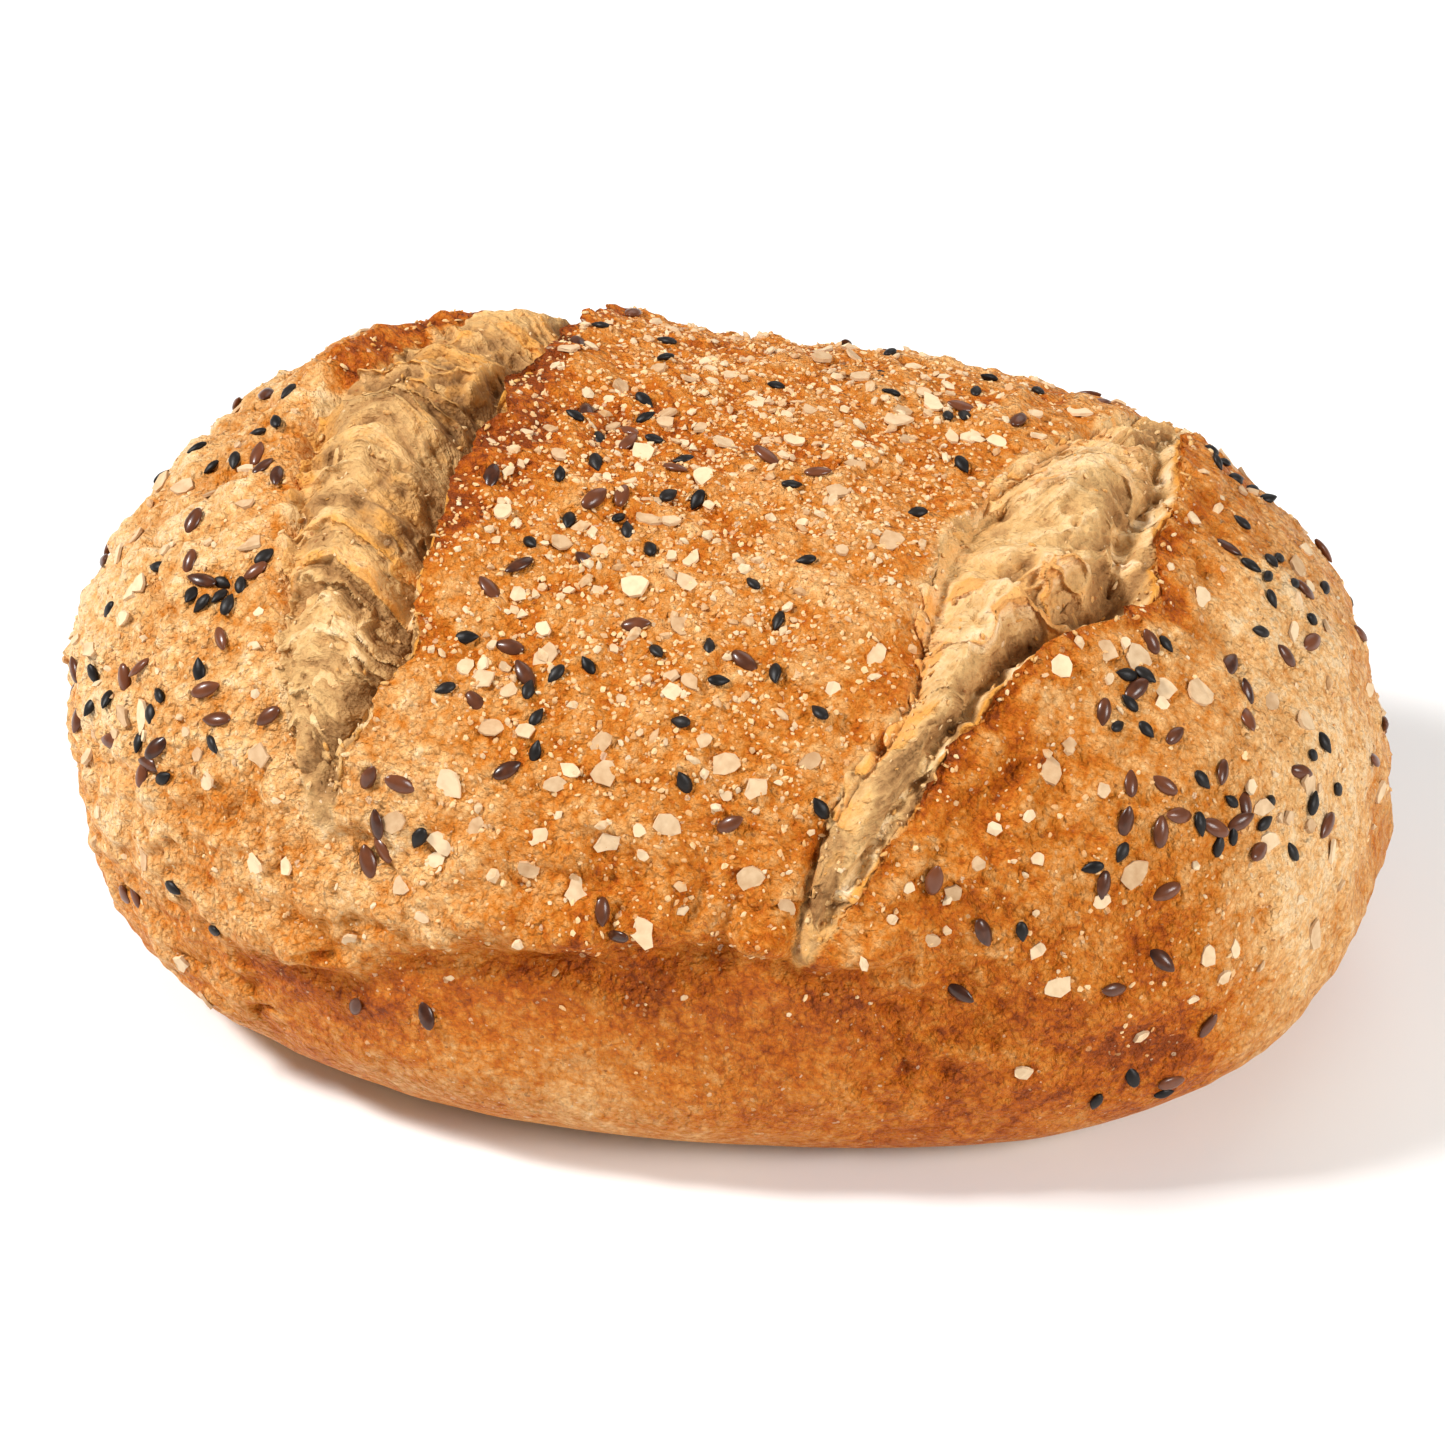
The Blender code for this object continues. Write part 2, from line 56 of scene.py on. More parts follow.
# The torn slashes in the crust's unrolled plan. A station is a place along the slash, the left
# edge, the lip on the right and the depth of the hollow under it, in mm. Heat is a place along
# the lip, how much it browned and how wide. A mound is a place, two radii and a height.
# frontShade is painted shade on the front end of the tear's crumb: darker and less golden, or paler where it
# is negative
leftSlash = {
    "stations": ((-80, -42, -39, 0), (-66, -45, -30.5, 3.5), (-53, -49.5, -23.5, 6), (-38, -52, -26, 7),
                 (-14, -59, -27, 6), (8, -61, -27, 4.5), (30, -58, -28, 2.5), (64, -34, -26, 0)),
    "dome": 2.2 * mm, "lip": 3.2 * mm, "overhang": 0.6 * mm, "rim": 2.6 * mm, "seed": 11,
    "sweep": (-0.34, 27.0), "wideWall": (-40.0 * mm, 16.0 * mm, 0.6 * mm), "backDrop": 2.2 * mm,
    "slopeDown": 2.2 * mm,
    "heat": ((-75, 0.06, 3), (-56, 0.20, 3), (-46, 0.36, 4), (-25, 0.42, 5), (0, 0.42, 5), (20, 0.38, 5),
             (64, 0.2, 6)),
    "mounds": ((-36, -30, 7, 4, 0.8), (-45, -5, 7, 4, 0.9), (-38, 8, 6, 4, 0.8)),
    "calm": 0.0, "gold": 0.0, "frontShade": -0.26, "broken": 1.0, "fuzz": 1.0, "pale": -0.16,
}
rightSlash = {
    "stations": ((-82, 40, 41.5, 0), (-64, 37.5, 49, 3), (-42, 45.5, 55, 4), (-22, 41.5, 64, 5),
                 (-10, 39.5, 73, 5), (16, 47, 69, 4), (40, 56, 66, 2), (58, 60, 64, 0)),
    "dome": 1.8 * mm, "lip": 2.8 * mm, "overhang": 0.5 * mm, "rim": 0.0, "seed": 12,
    "sweep": (-1.5, 22.0), "wideWall": (2.0 * mm, 10.0 * mm, 3.4 * mm), "backDrop": 0.8 * mm,
    "slopeDown": 0.0,
    "heat": ((-74, 0.20, 2.5), (-52, 0.38, 3), (-30, 0.34, 3.5), (-12, 0.30, 4), (5, 0.30, 8), (22, 0.30, 9),
             (58, 0.1, 8)),
    "mounds": ((53, -24, 1.5, 6, 1.7), (56, -19.5, 3.6, 1.5, 1.5), (55.5, -25.5, 1.8, 1.6, -1.8),
               (57, 5, 6, 12, 0.9), (46, -30, 3.6, 12, -1.1), (47, 4, 3, 10, 0.7), (50, -9, 3, 2, 1.0),
               (58, -8, 3, 2, 0.9)),
    "calm": 0.5, "gold": -0.10, "frontShade": 0.50, "broken": 1.4, "fuzz": 1.4, "pale": 0.30,
}
slashes = (leftSlash, rightSlash)
patch = {
    "across": (0.0, 0.07, 0.2, 0.4, 0.6, 0.8, 0.9, 1.0),
    "dome": (0.0, -0.6, 0.3, 1.0, 0.5, 0.0, 0.0, 0.0),
    "hollow": (0.0, 0.05, 0.0, 0.0, 0.25, 0.8, 1.0, 1.0),
    "lipWall": 3.8 * mm, "lipFall": 9.0 * mm, "overhangReach": 4.0 * mm,
    "rimSpan": (-2.0 * mm, 46.0 * mm), "rimEase": 10.0 * mm, "rimFall": 6.0 * mm,
    "ledgeHeight": 1.6 * mm, "ledgeSpacing": 9.0 * mm, "ledgeLength": 24.0 * mm,
    "wander": ((1.3 * mm, 9.0 * mm), (0.8 * mm, 5.0 * mm)), "onset": 0.45,
    "ragged": ((1.9 * mm, 5.5 * mm, 73), (1.2 * mm, 2.3 * mm, 74), (0.5 * mm, 1.1 * mm, 79)),
    "rimCover": 5.0 * mm,
}
# named folds and lumps of the whole crust, as mounds
folds = (
    (-9, -87, 7, 3, 1.6), (0, -85, 7, 3.5, 2.2), (5, -83, 4, 3, 1.2), (5, -92, 9, 3, -1.2),
    (24, -73, 1.8, 6, -1.3), (27, -80, 2, 4, -1.0), (31, -76, 3, 8, 1.0), (36, -77, 3, 3.5, 1.9),
    (39, -71, 1.6, 6, -1.8), (-35, -80, 6, 3, -1.2), (-21, -84, 5, 4, 1.4), (-28, -90, 7, 3, 1.0),
    (-42, -89, 8, 4, 1.2), (52, -20, 4, 4, 2.4), (50, -36, 2.5, 8, 1.2), (43, -28, 3, 10, -1.8),
    (56, 2, 7, 12, 1.3), (-57, -13, 3, 6, -2.6), (-52.5, 8, 3, 7, -2.0), (-30, 12, 2.5, 4, -2.5),
    (-42, 2, 8, 10, 1.1), (-66, -2, 4, 14, 1.5), (-18, -66, 9, 5, 1.3), (70, -60, 12, 7, 1.0),
    (10, 40, 16, 10, 1.2), (40, 66, 14, 8, -1.2), (-40, 84, 14, 7, 1.2),
)
# the shelf where the upper crust bulges over the plain band low on the front
shelf = {
    "line": ((-78, -96), (-48, -99), (-15, -93), (24, -84), (46, -78), (64, -69)),
    "height": 1.3 * mm, "foot": 1.6 * mm, "fall": 11.0 * mm, "ease": 12.0 * mm,
    "wander": (2.4 * mm, 9.0 * mm, 8),
}
lumps = ((1.7 * mm, 44.0 * mm, 3), (0.8 * mm, 16.0 * mm, 4), (0.3 * mm, 7.0 * mm, 5))


def smoothStep(low, high, value):
    share = np.clip((value - low) / (high - low), 0.0, 1.0)
    return share * share * (3.0 - 2.0 * share)


def easeEnds(value, first, last, ease):
    return smoothStep(first, first + ease, value) * (1.0 - smoothStep(last - ease, last, value))


def bell(distance, width):
    return np.exp(-(distance / width) ** 2)


@functools.lru_cache(maxsize=None)
def randomLattice(seed):
    return np.random.default_rng(seed).uniform(-1.0, 1.0, (32, 32, 32))


def latticeNoise(points, size, seed):
    # smooth random heights from -1 to 1
    lattice = randomLattice(seed)
    scaled = np.asarray(points) / size
    corner = np.floor(scaled).astype(int)
    share = scaled - corner
    blend = share ** 3 * (share * (share * 6.0 - 15.0) + 10.0)
    total = np.zeros(len(scaled))
    for step in itertools.product((0, 1), repeat=3):
        weight = np.prod(np.where(step, blend, 1.0 - blend), axis=1)
        index = (corner + np.array(step)) % 32
        total += weight * lattice[index[:, 0], index[:, 1], index[:, 2]]
    return total


def noiseSum(points, terms, seedShift=0):
    # smooth noises added up: height, width of a swell and seed of each
    total = np.zeros(len(points))
    for height, size, seed in terms:
        total += height * latticeNoise(points, size, seed + seedShift)
    return total


def cellNoise(points, size, seed):
    # distance to the nearest of one random spot per cell, in cells, and that spot's own number
    draws = np.random.default_rng(seed).uniform(0.0, 1.0, (16, 16, 16, 4))
    scaled = np.asarray(points) / size
    corner = np.floor(scaled).astype(int)
    nearest = np.full(len(scaled), 9.0)
    number = np.zeros(len(scaled))
    for step in itertools.product((-1, 0, 1), repeat=3):
        cell = corner + np.array(step)
        index = cell % 16
        spot = draws[index[:, 0], index[:, 1], index[:, 2]]
        distance = np.linalg.norm(cell + spot[:, :3] - scaled, axis=1)
        closer = distance < nearest
        nearest = np.where(closer, distance, nearest)
        number = np.where(closer, spot[:, 3], number)
    return nearest, number


def planRadius(turn):
    across = np.abs(np.cos(turn) / loaf["halfLength"]) ** loaf["planPower"]
    across = across + np.abs(np.sin(turn) / loaf["halfWidth"]) ** loaf["planPower"]
    lobes = 1.0
    for share, times, isSine in loaf["lobes"]:
        lobes = lobes + share * (np.sin(times * turn) if isSine else np.cos(times * turn))
    return across ** (-1.0 / loaf["planPower"]) * lobes


def profile(rise):
    # share of the outline and height, from the base's centre (-90 degrees) to the top (90)
    power = loaf["profilePower"]
    cosine = np.cos(rise)
    sine = np.abs(np.sin(rise))
    arch = (cosine ** power + sine ** power) ** (-1.0 / power)
    down = np.clip(-rise / (math.pi / 2), 0.0, 1.0)
    turn = np.clip(down / loaf["baseTurn"], 0.0, 1.0) * math.pi / 2
    rounded = loaf["baseShare"] + (1.0 - loaf["baseShare"]) * np.cos(turn)
    flat = loaf["baseShare"] * (1.0 - down) / (1.0 - loaf["baseTurn"])
    lowerShare = np.where(down < loaf["baseTurn"], rounded, flat)
    lift = np.where(rise >= 0.0, arch * sine, 0.0)
    upper = loaf["widestHeight"] + (loaf["height"] - loaf["widestHeight"]) * lift
    height = np.where(rise >= 0.0, upper, loaf["widestHeight"] * (1.0 - np.sin(turn)))
    return np.where(rise >= 0.0, arch * cosine, lowerShare), height, lift


rises = np.linspace(math.pi / 2, -math.pi / 2, 6401)
profileShares, profileHeights = profile(rises)[:2]
runSteps = np.hypot(np.diff(profileShares * loaf["meanRadius"]), np.diff(profileHeights))
runs = np.concatenate(([0.0], np.cumsum(runSteps)))


def place(turn, rise):
    share, height, lift = profile(rise)
    radius = share * planRadius(turn)
    return np.stack((radius * np.cos(turn) + loaf["topLean"] * lift - loaf["shift"][0],
                     radius * np.sin(turn) - loaf["shift"][1], height - loaf["baseTrim"]), axis=-1)


def unroll(turn, rise):
    run = np.interp(-rise, -rises, runs) / loaf["meanRadius"] * planRadius(turn)
    return run * np.cos(turn), run * np.sin(turn)


def rollUp(u, v):
    turn = np.arctan2(v, u)
    run = np.hypot(u, v) / planRadius(turn) * loaf["meanRadius"]
    return turn, np.interp(run, runs, rises)


def smoothSurface(u, v):
    # the smooth loaf's point and outward normal at a place of the unrolled plan
    step = 0.4 * mm
    here = place(*rollUp(u, v))
    alongU = place(*rollUp(u + step, v)) - place(*rollUp(u - step, v))
    alongV = place(*rollUp(u, v + step)) - place(*rollUp(u, v - step))
    normal = np.cross(alongU, alongV)
    return here, normal / np.maximum(np.linalg.norm(normal, axis=-1, keepdims=True), 1e-15)


def along(slash, v, column):
    stations = np.array(slash["stations"], dtype=float) * mm
    reach = np.arange(stations[0, 0] - 0.02, stations[-1, 0] + 0.02, mm)
    line = np.interp(reach, stations[:, 0], stations[:, column])
    window = np.hanning(25)
    line = np.convolve(np.pad(line, 12, mode="edge"), window / window.sum(), mode="valid")
    return np.interp(v, reach, line)


def slashFrame(slash, u, v):
    # strength along the slash, share across it, distances past its lip and past its left edge
    first = slash["stations"][0][0] * mm
    last = slash["stations"][-1][0] * mm
    share = np.clip((v - first) / (last - first), 0.0, 1.0)
    strength = np.sin(math.pi * share) ** patch["onset"]
    edge = along(slash, v, 1)
    lip = along(slash, v, 2)
    line = np.stack((v, v * 0.0, v * 0.0), axis=-1)
    for height, size in patch["wander"]:
        lip = lip + height * strength * latticeNoise(line, size, slash["seed"])
    across = (u - edge) / np.maximum(lip - edge, 2.0 * mm)
    return strength, across, u - lip, u - edge


def rimZone(v, easeIn, easeOut, beyond=0.0):
    # where the raised rim runs along the slash, easing in and out
    low, high = patch["rimSpan"]
    start = high + beyond - easeOut
    return smoothStep(low, low + easeIn, v) * (1.0 - smoothStep(start, start + easeOut, v))


def rimCover(slash, v):
    # how much of the rim at the back of the tear's left edge the crust still covers
    return rimZone(v, patch["rimEase"], patch["rimEase"]) * (slash["rim"] > 0.0)


def wallWidth(slash, v):
    centre, reach, more = slash["wideWall"]
    return patch["lipWall"] + more * bell(v - centre, reach)


def slashRelief(slash, u, v):
    # height, sideways overhang, and how much of it is torn crumb
    strength, across, past, pastEdge = slashFrame(slash, u, v)
    dome = slash["dome"] * np.interp(across, patch["across"], patch["dome"])
    hollow = along(slash, v, 3) * np.interp(across, patch["across"], patch["hollow"])
    wall = smoothStep(-wallWidth(slash, v), 0.0, past)
    crest = slash["lip"] * np.exp(-np.maximum(past, 0.0) / patch["lipFall"])
    height = (dome - hollow) * (1.0 - wall) + crest * wall
    zone = rimZone(v, patch["rimEase"], patch["rimEase"])
    height = height + slash["rim"] * zone * bell(pastEdge, patch["rimFall"])
    inside = smoothStep(0.0, 0.12, across) * (1.0 - smoothStep(0.84, 0.95, across))
    layers = np.stack((u / patch["ledgeLength"], v / patch["ledgeSpacing"], v * 0.0), axis=-1)
    layers[:, 1] += 0.7 * latticeNoise(layers * 0.6, 1.0, slash["seed"] + 5)
    ledge = 1.0 - 2.0 * np.abs(latticeNoise(layers, 1.0, slash["seed"] + 9))
    height = height + inside * patch["ledgeHeight"] * (ledge - 0.3)
    overhang = slash["overhang"] * bell(past, patch["overhangReach"]) * wall
    torn = strength * smoothStep(-0.02, 0.05, across) * (1.0 - smoothStep(-0.6 * mm, 0.0, past))
    return strength * height, strength * overhang, torn


def shelfLine(u):
    line = np.array(shelf["line"], dtype=float) * mm
    return np.interp(u, line[:, 0], line[:, 1])


def shelfPlace(u, v, points):
    # how far above the shelf's line, and how strong the shelf is there
    size, cell, seed = shelf["wander"]
    above = v - shelfLine(u) + size * latticeNoise(points, cell, seed)
    left, right, ease = shelf["line"][0][0] * mm, shelf["line"][-1][0] * mm, shelf["ease"]
    return above, easeEnds(u, left, right, ease)


def shelfRelief(u, v, points):
    above, ends = shelfPlace(u, v, points)
    bulge = smoothStep(-0.5 * shelf["foot"], 0.5 * shelf["foot"], above)
    return shelf["height"] * ends * bulge * np.exp(-np.maximum(above, 0.0) / shelf["fall"])


def moundSum(u, v, mounds):
    # soft round mounds: place and radii in mm, and how high each is
    total = np.zeros(len(u))
    for moundU, moundV, radiusU, radiusV, rise in mounds:
        reach = ((u / mm - moundU) / radiusU) ** 2 + ((v / mm - moundV) / radiusV) ** 2
        total += rise * np.exp(-reach)
    return total


def mainRelief(u, v, points):
    # the relief that the solid has too: shelf, slashes, folds and lumps
    height = shelfRelief(u, v, points)
    overhang = np.zeros(len(u))
    torn = np.zeros(len(u))
    for slash in slashes:
        slashHeight, slashOverhang, slashTorn = slashRelief(slash, u, v)
        height += slashHeight
        overhang += slashOverhang
        torn = np.maximum(torn, slashTorn)
    height += mm * moundSum(u, v, folds) + noiseSum(points, lumps)
    fade = smoothStep(1.0 * mm, 14.0 * mm, points[:, 2])
    return height * fade, overhang * fade, torn * fade


# The crust: how the oven coloured it, patch by patch (a mound's height is a change of browning),
# and its small relief (height, width of a swell or cell, and seed)
crust = {
    "sphereLevels": 8, "triangles": 188000, "lowerSqueeze": 0.2, "underCrumb": 1.6 * mm,
    "browning": 0.46, "clouds": ((0.08, 19.0 * mm, 41), (0.04, 6.0 * mm, 42)), "ridgeShare": 1.7,
    "patches": (
        (-85, -45, 34, 38, -0.32), (-98, 10, 30, 40, -0.24), (125, -20, 28, 34, -0.36),
        (-34, -86, 22, 11, -0.32), (0, -98, 60, 14, 0.10), (34, -86, 30, 9, 0.10), (76, -92, 40, 20, 0.26),
        (108, -60, 28, 18, 0.34), (-8, -116, 30, 10, -0.18), (-58, -106, 24, 12, 0.12),
        (-10, 12, 30, 30, 0.04), (14, -32, 22, 20, -0.12), (-52, -66, 13, 13, -0.16),
        (-32, -64, 18, 14, -0.16), (100, 8, 26, 34, -0.26), (-98, -74, 20, 20, -0.14),
        (-16, -74, 26, 8, -0.04), (6, -85, 15, 10, 0.14), (63, -56, 10, 11, 0.22), (26, -52, 14, 14, 0.04),
        (30, 45, 60, 26, 0.04), (-4, -10, 30, 30, 0.09), (122, -60, 18, 16, 0.10), (84, 2, 14, 14, -0.12),
        (0, 100, 60, 22, 0.16), (-70, 70, 34, 26, 0.08), (95, 62, 34, 24, 0.10),
    ),
    "blister": (0.55 * mm, 3.8 * mm), "pit": (0.75 * mm, 5.0 * mm), "crease": (0.9 * mm, 8.0 * mm, 26),
    "swells": ((0.55 * mm, 8.5 * mm, 24), (0.50 * mm, 4.6 * mm, 25)),
    "grainy": ((0.50 * mm, 2.8 * mm, 21), (0.42 * mm, 1.8 * mm, 22), (0.16 * mm, 1.2 * mm, 23)),
    "roll": (1.4 * mm, 2.6 * mm, 2.6 * mm), "groove": (1.0 * mm, -1.8 * mm, 2.4 * mm),
}
# small lumps and clefts along the ridge of the front, finer than the solid's folds
ridgeLumps = (
    (-31, -89, 3.4, 2.4, 1.1), (-24, -86, 2.4, 2.0, 0.9), (-16, -88, 3.0, 2.2, 1.0), (-9, -85, 2.2, 2.4, 0.9),
    (0, -87.5, 3.4, 3.4, 0.6), (4.5, -86, 3.0, 3.8, 0.5), (-4, -84, 2.2, 3.0, -0.7), (9, -84, 2.2, 3.4, -0.8),
    (13, -80, 3.4, 2.8, 0.8), (18, -78, 3.0, 3.0, 0.7), (21.5, -78, 2.0, 4.0, -0.5), (25, -75, 2.0, 5.0, 0.8),
    (28.5, -80, 1.8, 3.6, -0.6), (31, -78, 2.4, 3.0, 0.5), (37, -78, 3.4, 3.2, 0.4),
    (-40, -86, 3.4, 2.6, 1.0), (-47, -90, 3.0, 2.6, 0.9), (-37, -92, 2.2, 3, -0.6), (-12, -78, 3.6, 2.2, 0.8),
    (2, -76, 3.0, 2.4, 0.7), (44, -78, 3.2, 2.6, 0.8), (52, -74, 3.4, 2.6, 0.8), (-20, -80, 2.2, 2.6, -0.5),
)


def fineRelief(points, rough):
    # blisters, pits and grain of the crust; rough is how strong it is at each point
    height, size = crust["blister"]
    near, number = cellNoise(points, size, 31)
    blister = height * np.clip(1.0 - near * 2.0, 0.0, 1.0) ** 0.7 * (number > 0.45)
    height, size = crust["pit"]
    near, number = cellNoise(points, size, 32)
    pit = height * bell(near, 0.2) * (number > 0.5)
    depth, size, seed = crust["crease"]
    crease = depth * bell(latticeNoise(points, size, seed), 0.09)
    crease = crease * np.clip(2.2 * latticeNoise(points, 1.7 * size, seed + 1), 0.0, 1.0)
    grain = blister - pit - crease * rough + noiseSum(points, crust["grainy"])
    return grain * rough + noiseSum(points, crust["swells"]) * np.sqrt(rough)


def browning(u, v, points):
    return crust["browning"] + moundSum(u, v, crust["patches"]) + noiseSum(points, crust["clouds"])


def lipBrowning(u, v):
    # the raised lips and the rim behind the left slash caught the most heat
    extra = np.zeros(len(u))
    line = np.stack((v, v * 0.0, v * 0.0), axis=-1)
    for slash in slashes:
        strength, across, past, pastEdge = slashFrame(slash, u, v)
        heat = np.array(slash["heat"])
        width = np.interp(v / mm, heat[:, 0], heat[:, 2]) * mm
        width = width * (1.0 + 0.7 * latticeNoise(line, 7.0 * mm, slash["seed"] + 20))
        warmth = np.interp(v / mm, heat[:, 0], heat[:, 1])
        extra += warmth * strength * np.exp(-(np.maximum(past, 0.0) / width) ** 1.6) * (past > -3.0 * mm)
        if slash["rim"] > 0.0:
            zone = rimZone(v, 10.0 * mm, 20.0 * mm, 20.0 * mm)
            extra += 0.42 * zone * bell(pastEdge - 1.5 * mm, 5.0 * mm)
    return extra


def setAttribute(mesh, name, values):
    attribute = mesh.attributes.new(name, "FLOAT", "POINT")
    attribute.data.foreach_set("value", np.ascontiguousarray(values, dtype=np.float32))


def setBread(mesh, bake, torn, hollow, flour):
    # what the bread's finish reads: browning, crumb, a tone from height that carries painted shade, and flour
    for name, values in (("bake", bake), ("torn", torn), ("hollow", hollow), ("flour", flour)):
        setAttribute(mesh, name, values)


def setVectors(mesh, name, values):
    attribute = mesh.attributes.new(name, "FLOAT_VECTOR", "POINT")
    attribute.data.foreach_set("vector", np.ascontiguousarray(values, dtype=np.float32).ravel())


def readPoints(mesh):
    flat = np.empty(len(mesh.vertices) * 3)
    mesh.vertices.foreach_get("co", flat)
    return flat.reshape(-1, 3)


def writePoints(mesh, points):
    mesh.vertices.foreach_set("co", np.ascontiguousarray(points, dtype=np.float32).ravel())
    mesh.update()


def applyModifier(thing, modifier):
    bpy.ops.object.select_all(action="DESELECT")
    thing.select_set(True)
    bpy.context.view_layer.objects.active = thing
    bpy.ops.object.modifier_apply(modifier=modifier.name)


def shadeSmooth(thing):
    thing.data.polygons.foreach_set("use_smooth", np.ones(len(thing.data.polygons), dtype=bool))
    thing.data.update()


def rollRelief(u, v, points):
    # the shelf's lumpy roll and the groove under it, finer than the solid's shelf
    above, ends = shelfPlace(u, v, points)
    height, middle, reach = crust["roll"]
    lumpy = 0.7 + 1.5 * latticeNoise(points, 6.0 * mm, 27)
    roll = height * lumpy * bell(above - middle, reach)
    depth, middle, reach = crust["groove"]
    return ends * (roll - depth * lumpy * bell(above - middle, reach))


def crumbDrop(u, v, torn):
    # the crumb lies lower towards the back, and slopes down from its left edge to the recess
    height = np.zeros(len(u))
    for slash in slashes:
        strength, across, past, pastEdge = slashFrame(slash, u, v)
        near = smoothStep(-6.0 * mm, 0.0, pastEdge) * smoothStep(-4.0 * mm, 2.0 * mm, -past)
        height += slash["backDrop"] * near * smoothStep(0.0, 34.0 * mm, v)
        slope = smoothStep(0.2, 0.85, across) * (1.0 - smoothStep(-wallWidth(slash, v), 0.0, past))
        height += slash["slopeDown"] * strength * slope * near
    return height * torn


def tornColour(u, v, points):
    # where crumb shows: a torn edge strays from its line
    torn = np.zeros(len(u))
    ragged = noiseSum(points, patch["ragged"])
    for slash in slashes:
        strength, across, past, pastEdge = slashFrame(slash, u, v)
        begin = pastEdge - patch["rimCover"] * rimCover(slash, v) + ragged
        inside = smoothStep(-0.6 * mm, 0.6 * mm, begin) * (1.0 - smoothStep(-0.6 * mm, 0.0, past))
        torn = np.maximum(torn, inside * smoothStep(0.0, 0.25, strength))
    return torn


def makeCrust():
    # a ball is shaped into the loaf, then thinned where it is plain
    bpy.ops.object.select_all(action="DESELECT")
    bpy.ops.mesh.primitive_ico_sphere_add(subdivisions=crust["sphereLevels"], radius=1.0)
    piece = bpy.context.active_object
    piece.name = "crust"
    mesh = piece.data
    ball = readPoints(mesh)
    turn = np.arctan2(ball[:, 1], ball[:, 0])
    rise = np.arcsin(np.clip(ball[:, 2] / np.linalg.norm(ball, axis=1), -1.0, 1.0))
    rise = rise - crust["lowerSqueeze"] * np.cos(rise) ** 2
    u, v = unroll(turn, rise)
    smooth, normal = smoothSurface(u, v)
    normal[smooth[:, 2] < 0.5 * mm] = (0.0, 0.0, -1.0)
    height, overhang, torn = mainRelief(u, v, smooth)
    covered = np.zeros(len(u))
    for slash in slashes:
        strength, across, past, pastEdge = slashFrame(slash, u, v)
        nearRim = (1.0 - smoothStep(3.5 * mm, 6.0 * mm, pastEdge)) * (pastEdge > -9.0 * mm)
        covered += rimCover(slash, v) * nearRim
    sunk = crust["underCrumb"] * smoothStep(0.3, 0.9, torn) + crumbDrop(u, v, torn)
    height = height - sunk * (1.0 - covered)
    height = height + crust["ridgeShare"] * mm * moundSum(u, v, ridgeLumps)
    height = height + rollRelief(u, v, smooth) * (1.0 - torn)
    upper = smoothStep(3.0 * mm, 26.0 * mm, smooth[:, 2])
    above, ends = shelfPlace(u, v, smooth)
    lowFront = ends * (1.0 - smoothStep(-5.0 * mm, 3.0 * mm, above)) * (v < 0.0)
    rough = upper * (1.0 - 0.8 * lowFront) * (1.0 + 0.45 * bell(u + 85.0 * mm, 30.0 * mm))
    rough = rough * (1.0 - 0.45 * smoothStep(64 * mm, 84 * mm, u))
    fine = fineRelief(smooth, rough)
    turn, rise = rollUp(u - overhang, v)
    moved = place(turn, rise) + normal * (height + fine)[:, None]
    moved[:, 2] = np.maximum(moved[:, 2], 0.0)
    writePoints(mesh, moved)
    bake = browning(u, v, smooth) + lipBrowning(u, v)
    bake -= 0.35 * (1.0 - smoothStep(0.0, 5.0 * mm, smooth[:, 2]))
    bake += 0.15 * ends * bell(above + 6.0 * mm, 6.0 * mm)
    bare = tornColour(u, v, smooth)
    # painted shade: the tone follows the fine relief, so tops come out paler and pits darker; the crust's
    # torn crumb is darker
    hollow = np.clip(fine / (0.8 * mm), -1.0, 1.0) * 0.6 - 0.5 * bare
    speckled = 0.2 + 0.62 * np.exp(-((u - 8 * mm) / (42 * mm)) ** 2 - ((v + 6 * mm) / (64 * mm)) ** 2)
    setBread(mesh, bake - 0.45 * bare, bare, hollow, speckled)
    thin = piece.modifiers.new("thinner", "DECIMATE")
    thin.ratio = crust["triangles"] / len(mesh.polygons)
    applyModifier(piece, thin)
    shadeSmooth(piece)
    print("crust:", len(piece.data.polygons), "faces")
    return piece


# Torn crumb: a closed slab in each slash, drawn into strands that run down under the lip
crumb = {
    "acrossFaces": 150, "alongFaces": 560, "slabDepth": 7.0 * mm,
    "strands": ((1.5 * mm, 8.5 * mm, 18.0 * mm, 61), (1.0 * mm, 3.9 * mm, 9.0 * mm, 62),
                (0.55 * mm, 2.0 * mm, 5.5 * mm, 63), (0.22 * mm, 1.0 * mm, 3.4 * mm, 68)),
    "pores": ((1.2 * mm, 5.0 * mm, 64), (0.7 * mm, 2.3 * mm, 65)),
    "fuzz": ((0.22 * mm, 1.5 * mm, 66), (0.10 * mm, 0.75 * mm, 67)),
    "warp": ((2.6 * mm, 11.0 * mm, 71), (1.5 * mm, 4.6 * mm, 72), (0.6 * mm, 1.9 * mm, 78)),
    "rags": ((0.9 * mm, 2.4 * mm, 91), (0.5 * mm, 1.1 * mm, 92)),
    "reachOut": ((0.5 * mm, 1.5 * mm, 75), (0.7 * mm, 3.3 * mm, 76)),
    "lean": 0.9, "fibre": (2.6 * mm, 0.5 * mm), "margins": (3.0 * mm, 0.9 * mm), "ease": 9.0 * mm,
}


